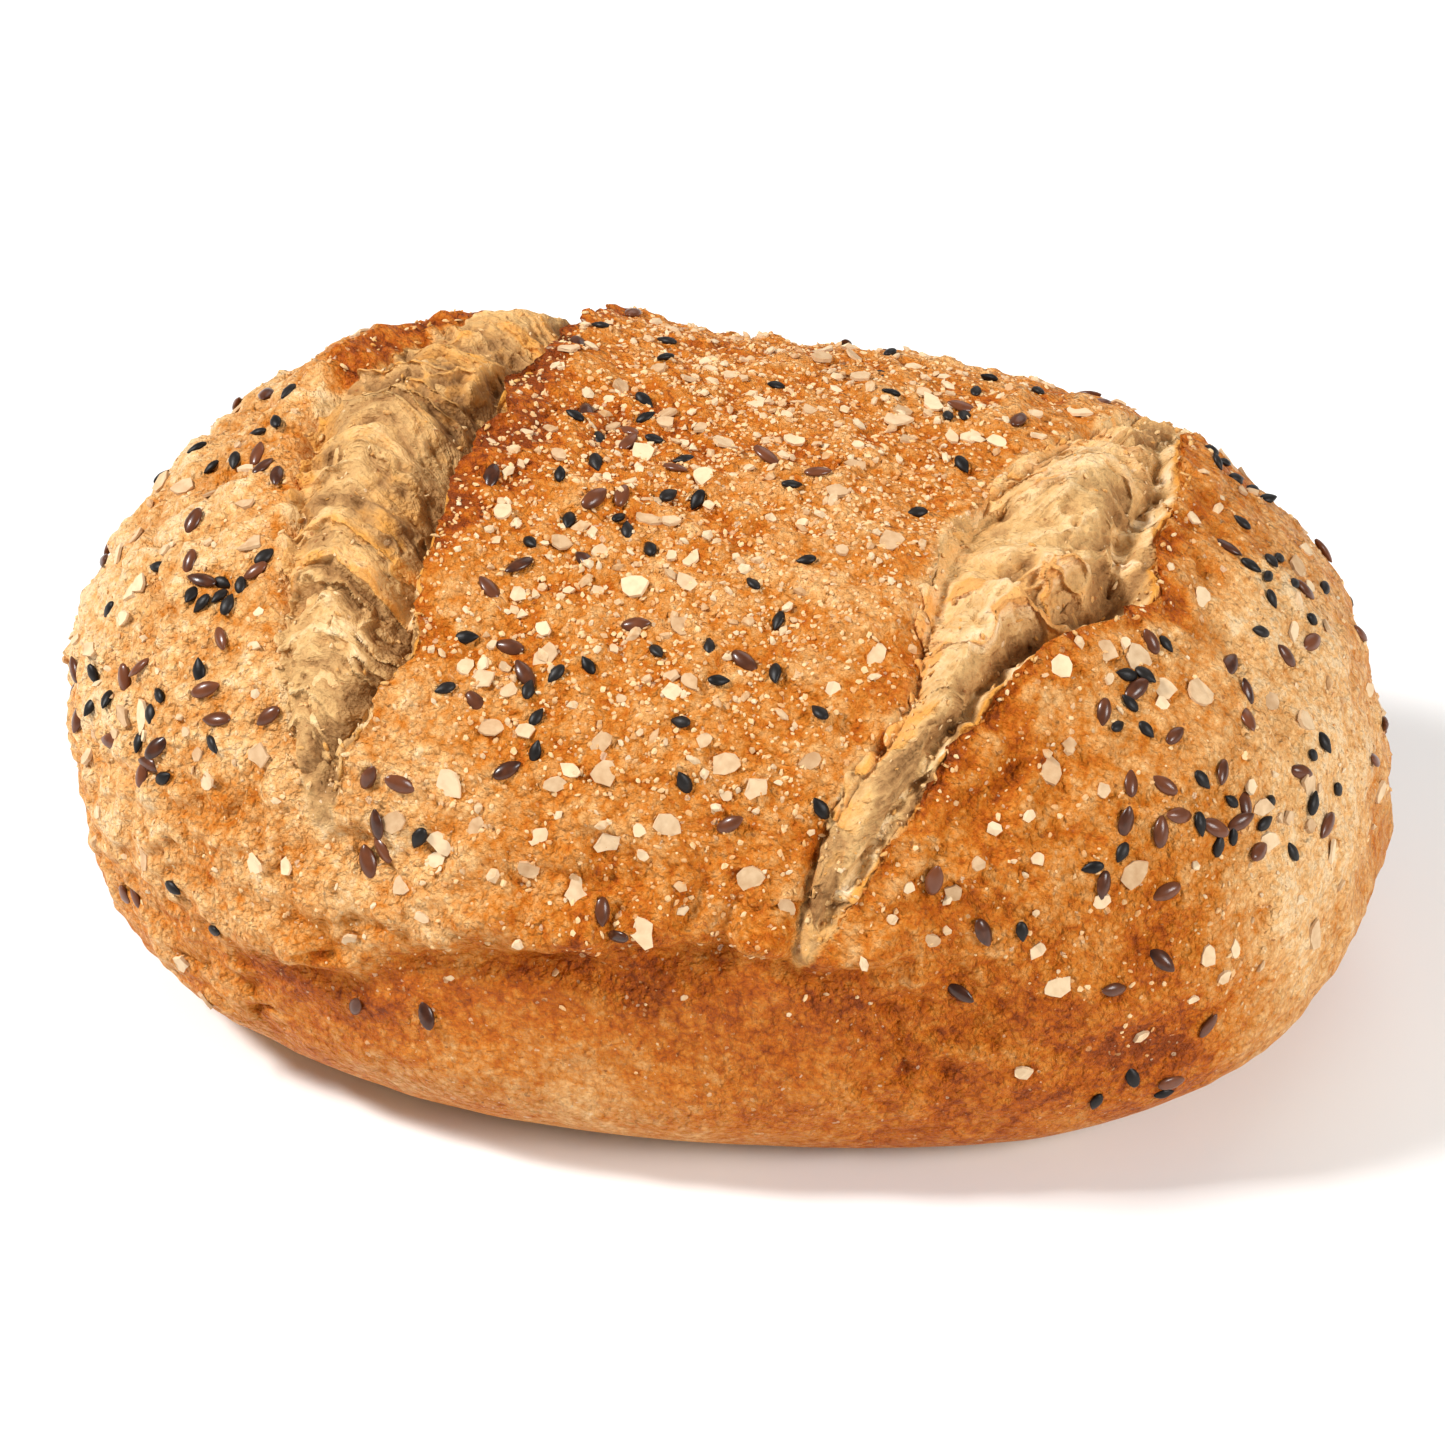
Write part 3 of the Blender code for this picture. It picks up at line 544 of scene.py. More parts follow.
def crumbRelief(u, v, pastEdge, slash):
    # height of strands, pores and fuzz, how far the strands lean to the front, and how crisp they are
    flat = np.stack((u, v, v * 0.0 + 3.1 * slash["seed"] * mm), axis=-1)
    warp = noiseSum(flat, crumb["warp"])
    slope, bend = slash["sweep"]
    run = np.maximum(pastEdge, 0.0)
    rank = (v + slope * run + bend * run ** 2) / math.sqrt(1.0 + slope ** 2) + warp
    height = np.zeros(len(u))
    lean = np.zeros(len(u))
    crisp = np.zeros(len(u))
    for amount, width, length, seed in crumb["strands"]:
        cells = np.stack((slash["broken"] * u / length + 0.25 * warp / mm, rank / width, v * 0.0), axis=-1)
        ridge = 1.0 - 2.0 * np.abs(latticeNoise(cells, 1.0, seed + slash["seed"]))
        strong = np.clip(0.7 + 0.9 * latticeNoise(flat, 2.2 * width, seed + 7), 0.05, 1.5)
        height += amount * strong * (ridge - 0.4)
        lean += crumb["lean"] * amount * strong * np.clip(ridge, 0.0, 1.0) ** 3
        crisp += amount / (2.0 * mm) * strong * np.clip(ridge, 0.0, 1.0) ** 2
    for depth, size, seed in crumb["pores"]:
        near, number = cellNoise(flat + warp[:, None] * 0.3, size, seed)
        height -= depth * math.sqrt(slash["fuzz"]) * bell(near, 0.24) * (number > 0.4)
    height += slash["fuzz"] * noiseSum(flat, crumb["fuzz"])
    length, width = crumb["fibre"]
    fibres = np.stack(((u + 0.5 * v) / length, rank / width, v * 0.0), axis=-1)
    return height, lean, crisp, fibres


def slashSheet(name, slash, columns, rows, inset):
    # a flat sheet for one slash: its object, each point's share across and place along,
    # both ends, and the distances from the plan's middle line to the lip and the left edge
    bpy.ops.object.select_all(action="DESELECT")
    bpy.ops.mesh.primitive_grid_add(x_subdivisions=columns, y_subdivisions=rows, size=2.0)
    piece = bpy.context.active_object
    piece.name = name
    sheet = (readPoints(piece.data) + 1.0) * 0.5
    first = slash["stations"][0][0] * mm + inset
    last = slash["stations"][-1][0] * mm - inset
    v = first + (last - first) * sheet[:, 1]
    lipBack, edgeBack = slashFrame(slash, np.zeros(len(v)), v)[2:]
    return piece, sheet[:, 0], v, first, last, lipBack, edgeBack


def makeCrumb(name, slash):
    piece, share, v, first, last, lipBack, edgeBack = slashSheet(
        name, slash, crumb["acrossFaces"], crumb["alongFaces"], 1.0 * mm)
    mesh = piece.data
    zero = np.zeros(len(v))
    left = -edgeBack - crumb["margins"][0]
    right = -lipBack + crumb["margins"][1]
    u = left + (right - left) * share
    strength, across, past, pastEdge = slashFrame(slash, u, v)
    smooth, normal = smoothSurface(u, v)
    height, overhang, torn = mainRelief(u, v, smooth)
    begin = pastEdge - patch["rimCover"] * rimCover(slash, v) + noiseSum(smooth, patch["ragged"])
    body = smoothStep(-0.7 * mm, 0.7 * mm, begin) * (1.0 - smoothStep(-0.8 * mm, 0.7 * mm, past))
    ends = easeEnds(v, first, last, crumb["ease"])
    fine, lean, crisp, fibres = crumbRelief(u, v, pastEdge, slash)
    # a smooth valley runs along the left of the right tear
    calm = slash["calm"] * (1.0 - smoothStep(0.28, 0.42, across))
    calm = calm * (1.0 - smoothStep(-14.0 * mm, 2.0 * mm, v))
    fine = fine * (1.0 - calm)
    cover = body * ends
    foot = -wallWidth(slash, v)
    wall = smoothStep(foot - 0.8 * mm, foot + 0.8 * mm, past)
    height = height + mm * moundSum(u, v, slash["mounds"]) * (1.0 - wall) * cover - crumbDrop(u, v, torn)
    rags = noiseSum(smooth, crumb["rags"])
    height = height + (fine * (1.0 - 0.6 * wall) + rags * wall + 0.3 * mm) * cover - 2.4 * mm * (1.0 - cover)
    height = height - 0.7 * mm * smoothStep(-1.6 * mm, 0.3 * mm, past) * cover
    reachOut = wall * (noiseSum(smooth, crumb["reachOut"]) - 0.6 * mm * cover)
    turn, rise = rollUp(u + reachOut, v - lean * cover)
    writePoints(mesh, place(turn, rise) + normal * height[:, None])
    # painted shade: the crumb at the foot of the lip's wall, under the flap, is made darker and less golden
    recessShade = bell(past - foot + 1.0 * mm, 3.0 * mm)
    gold = 1.3 * np.clip(crisp, 0.0, 1.0) ** 2 + 0.2 * latticeNoise(smooth, 9.0 * mm, 77)
    gold += 0.12 * smoothStep(-50.0 * mm, 0.0, v) + slash["gold"]
    gold += 0.5 * (1.0 - smoothStep(0.0, 7.0 * mm, pastEdge)) * (1.0 - calm)
    # the wall and the tips of its rags are made paler and more golden: partly the torn fringe's own colour,
    # partly painted light where the wall faces the lamp
    gold += 0.1 * smoothStep(foot + 1.0 * mm, -0.4 * mm, past) + 0.3 * np.clip(rags / mm, 0.0, 1.0) * wall
    gold -= 0.5 * recessShade + 0.1
    # the tone rises with the strands' height, so pits come out darker as painted shade; crisp crests are
    # paler crumb
    tone = 0.4 * (crisp - 0.35) + fine / (2.2 * mm) + (0.25 + 0.6 * rags / mm) * wall - 0.5 * recessShade
    # painted shade: the crumb also darkens as it nears the foot of the wall
    tone -= 0.25 * smoothStep(-10.0 * mm, 0.0, past - foot) * (1.0 - wall)
    # the cracks at the front tips are narrow and grey, and painted shade makes them darker and less golden;
    # frontShade paints the tear's front end darker as shade, or paler where it is negative
    tip = 1.0 - smoothStep(7.0 * mm, 24.0 * mm, v - first)
    front = 1.0 - smoothStep(-54.0 * mm, -34.0 * mm, v)
    tone += slash["pale"] - 0.6 * tip - slash["frontShade"] * front
    gold -= 0.5 * tip + 1.3 * abs(slash["frontShade"]) * front
    # the torn edge of the crust browned with it
    edge = smoothStep(-1.7 * mm, -0.5 * mm, past)
    gold += 1.2 * edge
    tone -= 0.45 * edge
    setBread(mesh, gold, zero + 1.0, np.clip(tone, -1.0, 1.0), zero)
    setVectors(mesh, "fibre", fibres)
    closeBelow(piece, normal.mean(axis=0), crumb["slabDepth"])
    shadeSmooth(piece)
    print(name + ":", len(piece.data.polygons), "faces")
    return piece


def closeBelow(piece, outward, depth):
    # the sheet's rim is extruded down into the loaf and filled
    bpy.context.view_layer.objects.active = piece
    bpy.ops.object.mode_set(mode="EDIT")
    bpy.ops.mesh.select_all(action="DESELECT")
    bpy.ops.mesh.select_mode(type="EDGE")
    bpy.ops.mesh.select_non_manifold()
    bpy.ops.mesh.extrude_edges_move(TRANSFORM_OT_translate={"value": tuple(-depth * outward)})
    bpy.ops.mesh.edge_face_add()
    bpy.ops.mesh.select_all(action="SELECT")
    bpy.ops.mesh.quads_convert_to_tris()
    bpy.ops.object.mode_set(mode="OBJECT")


# Lip of each slash: the crust's torn edge, a jagged band at the top of the crumb's wall
lip = {
    "sideFaces": 34, "alongFaces": 700, "reach": 7.0 * mm, "thickness": 0.9 * mm, "top": 0.62,
    "jag": ((0.7 * mm, 3.4 * mm, 81), (0.5 * mm, 1.5 * mm, 82), (0.25 * mm, 0.7 * mm, 83)),
    "jagOut": 0.7 * mm, "under": 2.4 * mm, "ease": 10.0 * mm,
}


def makeLip(name, slash):
    # the share across runs along the flap's section: top, edge, underside
    piece, section, v, first, last, lipBack, edgeBack = slashSheet(
        name, slash, lip["sideFaces"], lip["alongFaces"], 2.0 * mm)
    mesh = piece.data
    zero = np.zeros(len(v))
    onTop = np.clip(section / lip["top"], 0.0, 1.0)
    below = np.clip((section - lip["top"]) / (1.0 - lip["top"]), 0.0, 1.0)
    past = lip["reach"] * (1.0 - onTop) ** 1.3 + lip["under"] * below ** 1.5
    u = -lipBack + past
    smooth, normal = smoothSurface(u, v)
    height, overhang, torn = mainRelief(u, v, smooth)
    line = np.stack((v, zero + 0.4 * mm * below, zero), axis=-1)
    jag = lip["jagOut"] + noiseSum(line, lip["jag"], slash["seed"])
    nearEdge = bell(past, 1.5 * mm)
    ends = easeEnds(v, first, last, lip["ease"])
    skin = fineRelief(smooth, 0.9)
    curl = 0.3 * mm + 0.6 * mm * nearEdge * latticeNoise(line, 4.0 * mm, 84 + slash["seed"])
    lift = curl * ends - 1.0 * mm * (1.0 - ends) - 1.0 * mm * smoothStep(0.7, 1.0, past / lip["reach"])
    thick = lip["thickness"] * (1.0 + 0.5 * latticeNoise(line, 2.0 * mm, 85)) * ends
    under = thick * smoothStep(0.0, 0.45, below) + 1.4 * past * (below > 0.0)
    turn, rise = rollUp(u - overhang - nearEdge * jag * ends, v)
    writePoints(mesh, place(turn, rise) + normal * (height + skin * (below <= 0.0) + lift - under)[:, None])
    bake = browning(u, v, smooth) + lipBrowning(u, v) + 0.10 * latticeNoise(smooth, 1.8 * mm, 86)
    # painted shade: the tone follows the skin's relief, tops paler and pits darker
    hollow = np.clip(skin / (0.5 * mm), -1.0, 1.0) * 0.5
    setBread(mesh, bake, smoothStep(0.25, 0.6, below) * 0.9, hollow, zero + 0.4)
    bridgeSides(piece)
    shadeSmooth(piece)
    print(name + ":", len(piece.data.polygons), "faces")
    return piece


def bridgeSides(piece):
    # the flap's first and last long edges are joined, then its two ends are filled
    work = bmesh.new()
    work.from_mesh(piece.data)
    work.verts.ensure_lookup_table()
    across = lip["sideFaces"] + 1
    rows = len(work.verts) // across
    for row in range(rows - 1):
        start = row * across
        corners = (start + across - 1, start, start + across, start + 2 * across - 1)
        work.faces.new([work.verts[corner] for corner in corners])
    for row in (0, rows - 1):
        ring = [work.verts[row * across + step] for step in range(across)]
        work.faces.new(ring if row else ring[::-1])
    bmesh.ops.recalc_face_normals(work, faces=work.faces)
    bmesh.ops.triangulate(work, faces=work.faces)
    work.to_mesh(piece.data)
    work.free()


# Seeds that the solid has too: the same sizes, places and random draws
sowing = {
    "flax": {"size": (4.7 * mm, 2.4 * mm, 1.2 * mm), "sunk": 0.25, "count": 40},
    "sesame": {"size": (3.5 * mm, 2.0 * mm, 1.1 * mm), "sunk": 0.22, "count": 36},
    "flake": {"size": (4.8 * mm, 3.6 * mm, 1.0 * mm), "sunk": 0.30, "count": 58},
    "spacing": 5.0 * mm, "floor": 14.0 * mm, "full": 59.0 * mm, "clear": 3.0 * mm, "start": 0.12,
    "field": ((-135.0 * mm, 140.0 * mm), (-115.0 * mm, 110.0 * mm)), "tries": 80, "draw": 2857,
    "spread": 5.0 * mm,
    "clumps": (
        (-58, -46, 2, 2, 1), (-78, -65, 2, 1, 1), (-70, -17, 2, 1, 1), (-10, -54, 2, 1, 3),
        (-1, -23, 2, 1, 2), (-8, -4, 1, 1, 3), (16, -52, 2, 0, 2), (73, -23, 2, 1, 3),
        (81, -45, 1, 3, 1), (99, -28, 2, 1, 1), (74, 37, 3, 0, 1), (-1, -68, 1, 0, 3),
        (-27, -75, 0, 2, 2), (90, 18, 2, 0, 1),
    ),
}


def inSlash(u, v, clear):
    found = np.zeros(len(u), dtype=bool)
    for slash in slashes:
        strength, across, past, pastEdge = slashFrame(slash, u, v)
        found |= (strength > sowing["start"]) & (pastEdge > -clear) & (past < clear)
    return found


def sharedPlaces(draw):
    # the solid's own seeds: the clumps first, then the rest over the whole crust
    wanted = []
    for u, v, sesame, flax, flakes in sowing["clumps"]:
        for kind, count in (("sesame", sesame), ("flax", flax), ("flake", flakes)):
            for _ in range(count):
                wanted.append((kind, u * mm, v * mm, sowing["spread"]))
    for kind in ("flake", "flax", "sesame"):
        already = sum(1 for item in wanted if item[0] == kind)
        for _ in range(sowing[kind]["count"] - already):
            wanted.append((kind, None, None, 0.0))
    places = []
    for kind, clumpU, clumpV, spread in wanted:
        for _ in range(sowing["tries"]):
            if clumpU is None:
                u = draw.uniform(*sowing["field"][0])
                v = draw.uniform(*sowing["field"][1])
            else:
                u = clumpU + draw.gauss(0.0, spread)
                v = clumpV + draw.gauss(0.0, spread)
            spot = (np.array([u]), np.array([v]))
            height = place(*rollUp(*spot))[0, 2] + loaf["baseTrim"]
            keep = (height - sowing["floor"]) / (sowing["full"] - sowing["floor"])
            if draw.random() > keep or inSlash(*spot, sowing["clear"])[0]:
                continue
            if all(math.hypot(u - other[1], v - other[2]) > sowing["spacing"] for other in places):
                places.append((kind, u, v))
                break
    return places


# More seeds and flakes than the solid can carry: how many, the smallest gap between them, and
# where they fell together (place in the unrolled plan, sesame, flax, flakes and spread in mm)
extra = {
    "sesame": 100, "flax": 82, "flake": 230, "gap": 2.4 * mm, "wideGap": 3.6 * mm, "draw": 77,
    "floor": 12.0 * mm, "rising": 45.0 * mm, "clear": 1.6 * mm, "bareBelow": 0.92, "bareReach": 70.0 * mm,
    "clumpTries": 20, "fieldTries": 6000, "field": ((-0.13, 0.135), (-0.112, 0.108)),
    "grainField": ((-135.0 * mm, 140.0 * mm), (-118.0 * mm, 112.0 * mm)),
    "clumps": (
        (-58, -46, 5, 2, 3, 4), (-78, -65, 3, 1, 3, 4), (-61, -67, 2, 3, 4, 5), (-66, -17, 2, 2, 3, 5),
        (-80, -30, 3, 3, 4, 10), (-92, -50, 3, 2, 3, 9), (-8, -4, 3, 2, 8, 7), (-1, -23, 4, 2, 6, 5),
        (-11, -54, 3, 3, 7, 5), (12, -46, 3, 0, 3, 4), (-16, -30, 2, 2, 6, 9), (-12, 16, 3, 1, 12, 9),
        (10, 8, 3, 1, 10, 12), (8, -70, 0, 1, 5, 8), (71, -23, 3, 2, 4, 3), (81, -45, 2, 4, 3, 8),
        (99, -28, 2, 4, 3, 7), (104, -50, 2, 3, 3, 10), (89, 14, 5, 1, 4, 6), (74, 36, 4, 0, 2, 4),
        (112, -10, 3, 2, 2, 9), (60, -62, 0, 2, 4, 7), (-27, -76, 1, 3, 3, 5), (118, -70, 3, 1, 0, 5),
        (34, 18, 2, 1, 8, 8), (24, 30, 3, 1, 9, 12),
    ),
    "bits": {"count": 900, "size": (0.8 * mm, 2.2 * mm), "sunk": 0.38, "seed": 9},
    "grains": {"count": 7600, "size": (0.45 * mm, 1.1 * mm), "sunk": 0.48, "seed": 10},
    "shreds": {"count": 700, "length": (0.7 * mm, 2.0 * mm), "seed": 12},
}


def extraPlaces(shared, draw):
    places = list(shared)
    found = []

    def tryPlace(kind, u, v, gap, onlyHigh):
        spot = (np.array([u]), np.array([v]))
        height = place(*rollUp(*spot))[0, 2]
        above = height - extra["floor"]
        if above < 0.0 or (onlyHigh and draw.random() > above / extra["rising"]):
            return False
        if inSlash(*spot, extra["clear"])[0]:
            return False
        if v < shelfLine(u) and abs(u) < extra["bareReach"] and draw.random() < extra["bareBelow"]:
            return False
        if any(math.hypot(u - other[1], v - other[2]) < gap for other in places):
            return False
        places.append((kind, u, v))
        found.append((kind, u, v))
        return True

    counts = {"sesame": 0, "flax": 0, "flake": 0}
    for clumpU, clumpV, sesame, flax, flakes, spread in extra["clumps"]:
        for kind, count in (("sesame", sesame), ("flax", flax), ("flake", flakes)):
            for _ in range(count):
                for _ in range(extra["clumpTries"]):
                    u = draw.gauss(clumpU * mm, spread * mm)
                    v = draw.gauss(clumpV * mm, spread * mm)
                    if tryPlace(kind, u, v, extra["gap"], False):
                        counts[kind] += 1
                        break
    for kind in ("flake", "flax", "sesame"):
        for _ in range(extra["fieldTries"]):
            if counts[kind] >= extra[kind]:
                break
            u = draw.uniform(*extra["field"][0])
            v = draw.uniform(*extra["field"][1])
            if tryPlace(kind, u, v, extra["wideGap"], True):
                counts[kind] += 1
    return found


def grainDensity(u, v, height):
    # meal and broken grain lie thickest on the panel between the slashes
    panel = np.exp(-(((u - 6 * mm) / (46 * mm)) ** 2) ** 1.5 - (((v + 6 * mm) / (62 * mm)) ** 2) ** 1.5)
    panel = panel * (1.0 - 0.55 * smoothStep(34 * mm, 44 * mm, u))
    below = 1.0 - smoothStep(-4.0 * mm, 4.0 * mm, v - shelfLine(u))
    return (0.13 + 0.87 * panel) * smoothStep(8 * mm, 46 * mm, height) * (1.0 - 0.8 * below)


# How a seed finds the crust: a ray from above it, and a ring of rays whose mean is its normal
seating = {
    "above": 12.0 * mm, "reach": 30.0 * mm, "rays": 5, "ring": 1.3 * mm, "ringAbove": 4.0 * mm,
    "ringReach": 8.0 * mm,
}


def seatOnCrust(tree, u, v):
    # point and smoothed normal of the real crust above places of the unrolled plan
    smooth, normal = smoothSurface(u, v)
    seats = []
    for centre, outward in zip(smooth, normal):
        outward = Vector(outward)
        hit = tree.ray_cast(Vector(centre) + outward * seating["above"], -outward, seating["reach"])
        if hit[0] is None:
            seats.append(None)
            continue
        side = outward.orthogonal().normalized()
        other = outward.cross(side)
        mean = hit[1].copy()
        for step in range(seating["rays"]):
            angle = 2.0 * math.pi * step / seating["rays"]
            start = hit[0] + (side * math.cos(angle) + other * math.sin(angle)) * seating["ring"]
            near = tree.ray_cast(start + outward * seating["ringAbove"], -outward, seating["ringReach"])
            if near[0] is not None:
                mean += near[1]
        seats.append((hit[0], mean.normalized()))
    return seats


def ballOnItsSide(segments):
    # a ball whose poles lie along x: its object, its points and their places from -1 to 1
    bpy.ops.mesh.primitive_uv_sphere_add(segments=segments, ring_count=8, radius=0.5)
    seed = bpy.context.active_object
    points = readPoints(seed.data)[:, (2, 0, 1)]
    return seed, points, points[:, 0] * 2.0


def modelSesame():
    # a teardrop: a ball flattened and drawn out to a point
    seed, points, x = ballOnItsSide(12)
    tip = np.clip(x, 0.0, 1.0)
    points[:, 1] *= 1.0 - 0.62 * tip ** 1.4
    points[:, 2] *= 1.0 - 0.4 * tip
    return takeShape(seed, points)


def modelFlax():
    # a pointed lens with a soft ridge round its edge
    seed, points, x = ballOnItsSide(14)
    swell = 1.0 - 0.45 * np.clip(x, 0.0, 1.0) ** 2.0
    points[:, 1] *= swell
    points[:, 2] *= swell * (1.0 - 0.25 * np.abs(points[:, 1] * 2.0))
    return takeShape(seed, points)


def modelFlake(draw):
    # a broken, slightly curled cereal flake: a low cylinder with an uneven outline and a bevelled top
    bpy.ops.mesh.primitive_cylinder_add(vertices=9, radius=0.5, depth=1.0)
    seed = bpy.context.active_object
    bpy.ops.object.mode_set(mode="EDIT")
    bpy.ops.mesh.select_all(action="SELECT")
    bpy.ops.mesh.inset(thickness=0.09, depth=0.0)
    bpy.ops.mesh.quads_convert_to_tris()
    bpy.ops.object.mode_set(mode="OBJECT")
    points = readPoints(seed.data)
    angle = np.arctan2(points[:, 1], points[:, 0])
    reach = np.hypot(points[:, 0], points[:, 1])
    corners = np.array([draw.uniform(0.68, 1.12) for _ in range(9)])
    edge = corners[np.round(angle / (2.0 * math.pi) * 9).astype(int) % 9]
    points[:, 0] *= edge
    points[:, 1] *= edge
    points[:, 2] *= np.where(reach > 0.45, 0.62, 1.0)
    points[:, 2] += draw.uniform(-0.8, 0.8) * (points[:, 0] ** 2 - 0.1) * 2.0
    points[:, 2] += np.array([draw.uniform(-0.12, 0.12) for _ in points])
    return takeShape(seed, points)


def modelGrit(draw):
    # a broken grain: a small ball with its corners pushed about
    bpy.ops.mesh.primitive_ico_sphere_add(subdivisions=1, radius=0.5)
    seed = bpy.context.active_object
    points = readPoints(seed.data)
    for point in points:
        point *= draw.uniform(0.65, 1.2)
    return takeShape(seed, points)


def takeShape(seed, points):
    # points and triangles of a modelled seed, whose object is then removed
    mesh = seed.data
    writePoints(mesh, points)
    mesh.calc_loop_triangles()
    corners = np.array([triangle.vertices[:] for triangle in mesh.loop_triangles])
    taken = readPoints(mesh).copy()
    bpy.data.objects.remove(seed)
    bpy.data.meshes.remove(mesh)
    return taken, corners


def joinCopies(name, copies, rounded=True):
    # one mesh from many placed copies: (points, triangles, tone of the copy)
    allPoints = []
    allCorners = []
    tones = []
    start = 0
    for points, corners, tone in copies:
        allPoints.append(points)
        allCorners.append(corners + start)
        tones.append(np.full(len(points), tone))
        start += len(points)
    mesh = bpy.data.meshes.new(name)
    mesh.from_pydata(np.concatenate(allPoints).tolist(), [], np.concatenate(allCorners).tolist())
    mesh.update()
    setAttribute(mesh, "tone", np.concatenate(tones))
    piece = bpy.data.objects.new(name, mesh)
    bpy.context.scene.collection.objects.link(piece)
    if rounded:
        shadeSmooth(piece)
    print(name + ":", len(copies), "copies,", len(mesh.polygons), "faces")
    return piece


def seated(points, size, seat, normal, sunk, tilt, draw):
    # a copy's points laid on the crust, turned at random and pressed in a little
    spin = Matrix.Rotation(draw.uniform(0.0, 2.0 * math.pi), 3, "Z")
    tip = Matrix.Rotation(draw.gauss(0.0, tilt), 3, "X") @ Matrix.Rotation(draw.gauss(0.0, tilt), 3, "Y")
    lean = normal.to_track_quat("Z", "Y").to_matrix()
    turned = np.array(lean @ tip @ spin)
    centre = np.array(seat + normal * (0.5 - sunk) * size[2])
    return (points * np.array(size)) @ turned.T + centre


def sow(tree):
    shared = sharedPlaces(random.Random(sowing["draw"]))
    sown = shared + extraPlaces(shared, random.Random(extra["draw"]))
    draw = random.Random(5)
    shapes = {
        "sesame": [modelSesame()], "flax": [modelFlax()], "flake": [modelFlake(draw) for _ in range(12)],
    }
    copies = {"sesame": [], "flax": [], "flake": []}
    seats = seatOnCrust(tree, np.array([item[1] for item in sown]), np.array([item[2] for item in sown]))
    for number, ((kind, u, v), seat) in enumerate(zip(sown, seats)):
        if seat is None or seat[0].z < 9.0 * mm:
            continue
        length, width, thick = sowing[kind]["size"]
        sunk = sowing[kind]["sunk"]
        if kind == "flake":
            scale = draw.uniform(0.75, 1.15) if number < len(shared) else 0.35 + 0.5 * draw.random() ** 1.4
            size = (length * scale, width * scale * draw.uniform(0.8, 1.2), thick * draw.uniform(0.6, 0.85))
            tilt = 0.15
        else:
            scale = draw.uniform(0.84, 1.08)
            size = (length * scale, width * scale, thick * scale * 1.15)
            sunk = sunk + 0.2 * draw.random() ** 2
            tilt = 0.18
        points, corners = draw.choice(shapes[kind])
        laid = seated(points, size, seat[0], seat[1], sunk, tilt, draw)
        copies[kind].append((laid, corners, draw.random()))
    pieces = [
        joinCopies("blackSesame", copies["sesame"]),
        joinCopies("linseed", copies["flax"]),
        joinCopies("cerealFlakes", copies["flake"], False),
    ]
    for name, spec in (("grainBits", extra["bits"]), ("mealGrains", extra["grains"])):
        pieces.append(scatterGrains(tree, name, spec))
    return pieces


def scatterGrains(tree, name, spec):
    numbers = np.random.default_rng(spec["seed"])
    u = numbers.uniform(*extra["grainField"][0], spec["count"] * 9)
    v = numbers.uniform(*extra["grainField"][1], spec["count"] * 9)
    height = place(*rollUp(u, v))[:, 2]
    keep = numbers.uniform(0.0, 1.0, len(u)) < np.maximum(grainDensity(u, v, height), 0.0) ** 1.2
    keep &= ~inSlash(u, v, -0.2 * mm)
    u = u[keep][:spec["count"]]
    v = v[keep][:spec["count"]]
    draw = random.Random(spec["seed"])
    shapes = [modelGrit(draw) for _ in range(8)]
    copies = []
    for seat in seatOnCrust(tree, u, v):
        if seat is None:
            continue
        scale = spec["size"][0] + (spec["size"][1] - spec["size"][0]) * draw.random() ** 2
        size = tuple(scale * draw.uniform(*span) for span in ((0.9, 1.6), (0.7, 1.1), (0.4, 0.75)))
        points, corners = draw.choice(shapes)
        laid = seated(points, size, seat[0], seat[1], spec["sunk"], 0.35, draw)
        copies.append((laid, corners, draw.random()))
    return joinCopies(name, copies, False)


def makeShreds(tree):
    # torn shreds of crumb along the ledges, the walls and the ragged left edges
    spec = extra["shreds"]
    numbers = np.random.default_rng(spec["seed"])
    draw = random.Random(spec["seed"])
    shapes = [modelGrit(draw) for _ in range(8)]
    allU = []
    allV = []
    for slash in slashes:
        count = spec["count"] // 2
        v = numbers.uniform(slash["stations"][0][0] + 6, slash["stations"][-1][0] - 6, count) * mm
        edge = along(slash, v, 1)
        right = along(slash, v, 2)
        where = numbers.uniform(0.0, 1.0, count)
        inner = edge + (right - edge) * numbers.uniform(0.05, 0.95, count)
        u = np.where(where < 0.34, right - numbers.uniform(0.2, 3.6, count) * mm, inner)
        u = np.where(where > 0.78, edge + numbers.normal(0.5, 1.3, count) * mm, u)
        allU.append(u)
        allV.append(v)
    copies = []
    for seat in seatOnCrust(tree, np.concatenate(allU), np.concatenate(allV)):
        if seat is None:
            continue
        length = spec["length"][0] + (spec["length"][1] - spec["length"][0]) * draw.random() ** 2
        size = (length, length * draw.uniform(0.3, 0.6), length * draw.uniform(0.25, 0.5))
        points, corners = draw.choice(shapes)
        laid = seated(points, size, seat[0], seat[1], 0.3, 0.5, draw)
        copies.append((laid, corners, draw.random()))
    piece = joinCopies("tornShreds", copies)
    tones = np.empty(len(piece.data.vertices), dtype=np.float32)
    piece.data.attributes["tone"].data.foreach_get("value", tones)
    setBread(piece.data, 0.6 * tones, np.ones(len(tones)), 0.5 - 0.7 * tones, np.full(len(tones), 0.2))
    return piece


def hexColour(text):
    # sRGB hex to linear
    channels = [int(text[place:place + 2], 16) / 255.0 for place in (1, 3, 5)]
    linear = [c / 12.92 if c <= 0.04045 else ((c + 0.055) / 1.055) ** 2.4 for c in channels]
    return (*linear, 1.0)


def addNode(tree, kind, settings=None, links=None):
    # a node with its properties, socket values and links
    node = tree.nodes.new(kind)
    for key, value in (settings or {}).items():
        if isinstance(key, int) or key in node.inputs:
            node.inputs[key].default_value = value
        else:
            setattr(node, key, value)
    for key, source in (links or {}).items():
        tree.links.new(source, node.inputs[key])
    return node


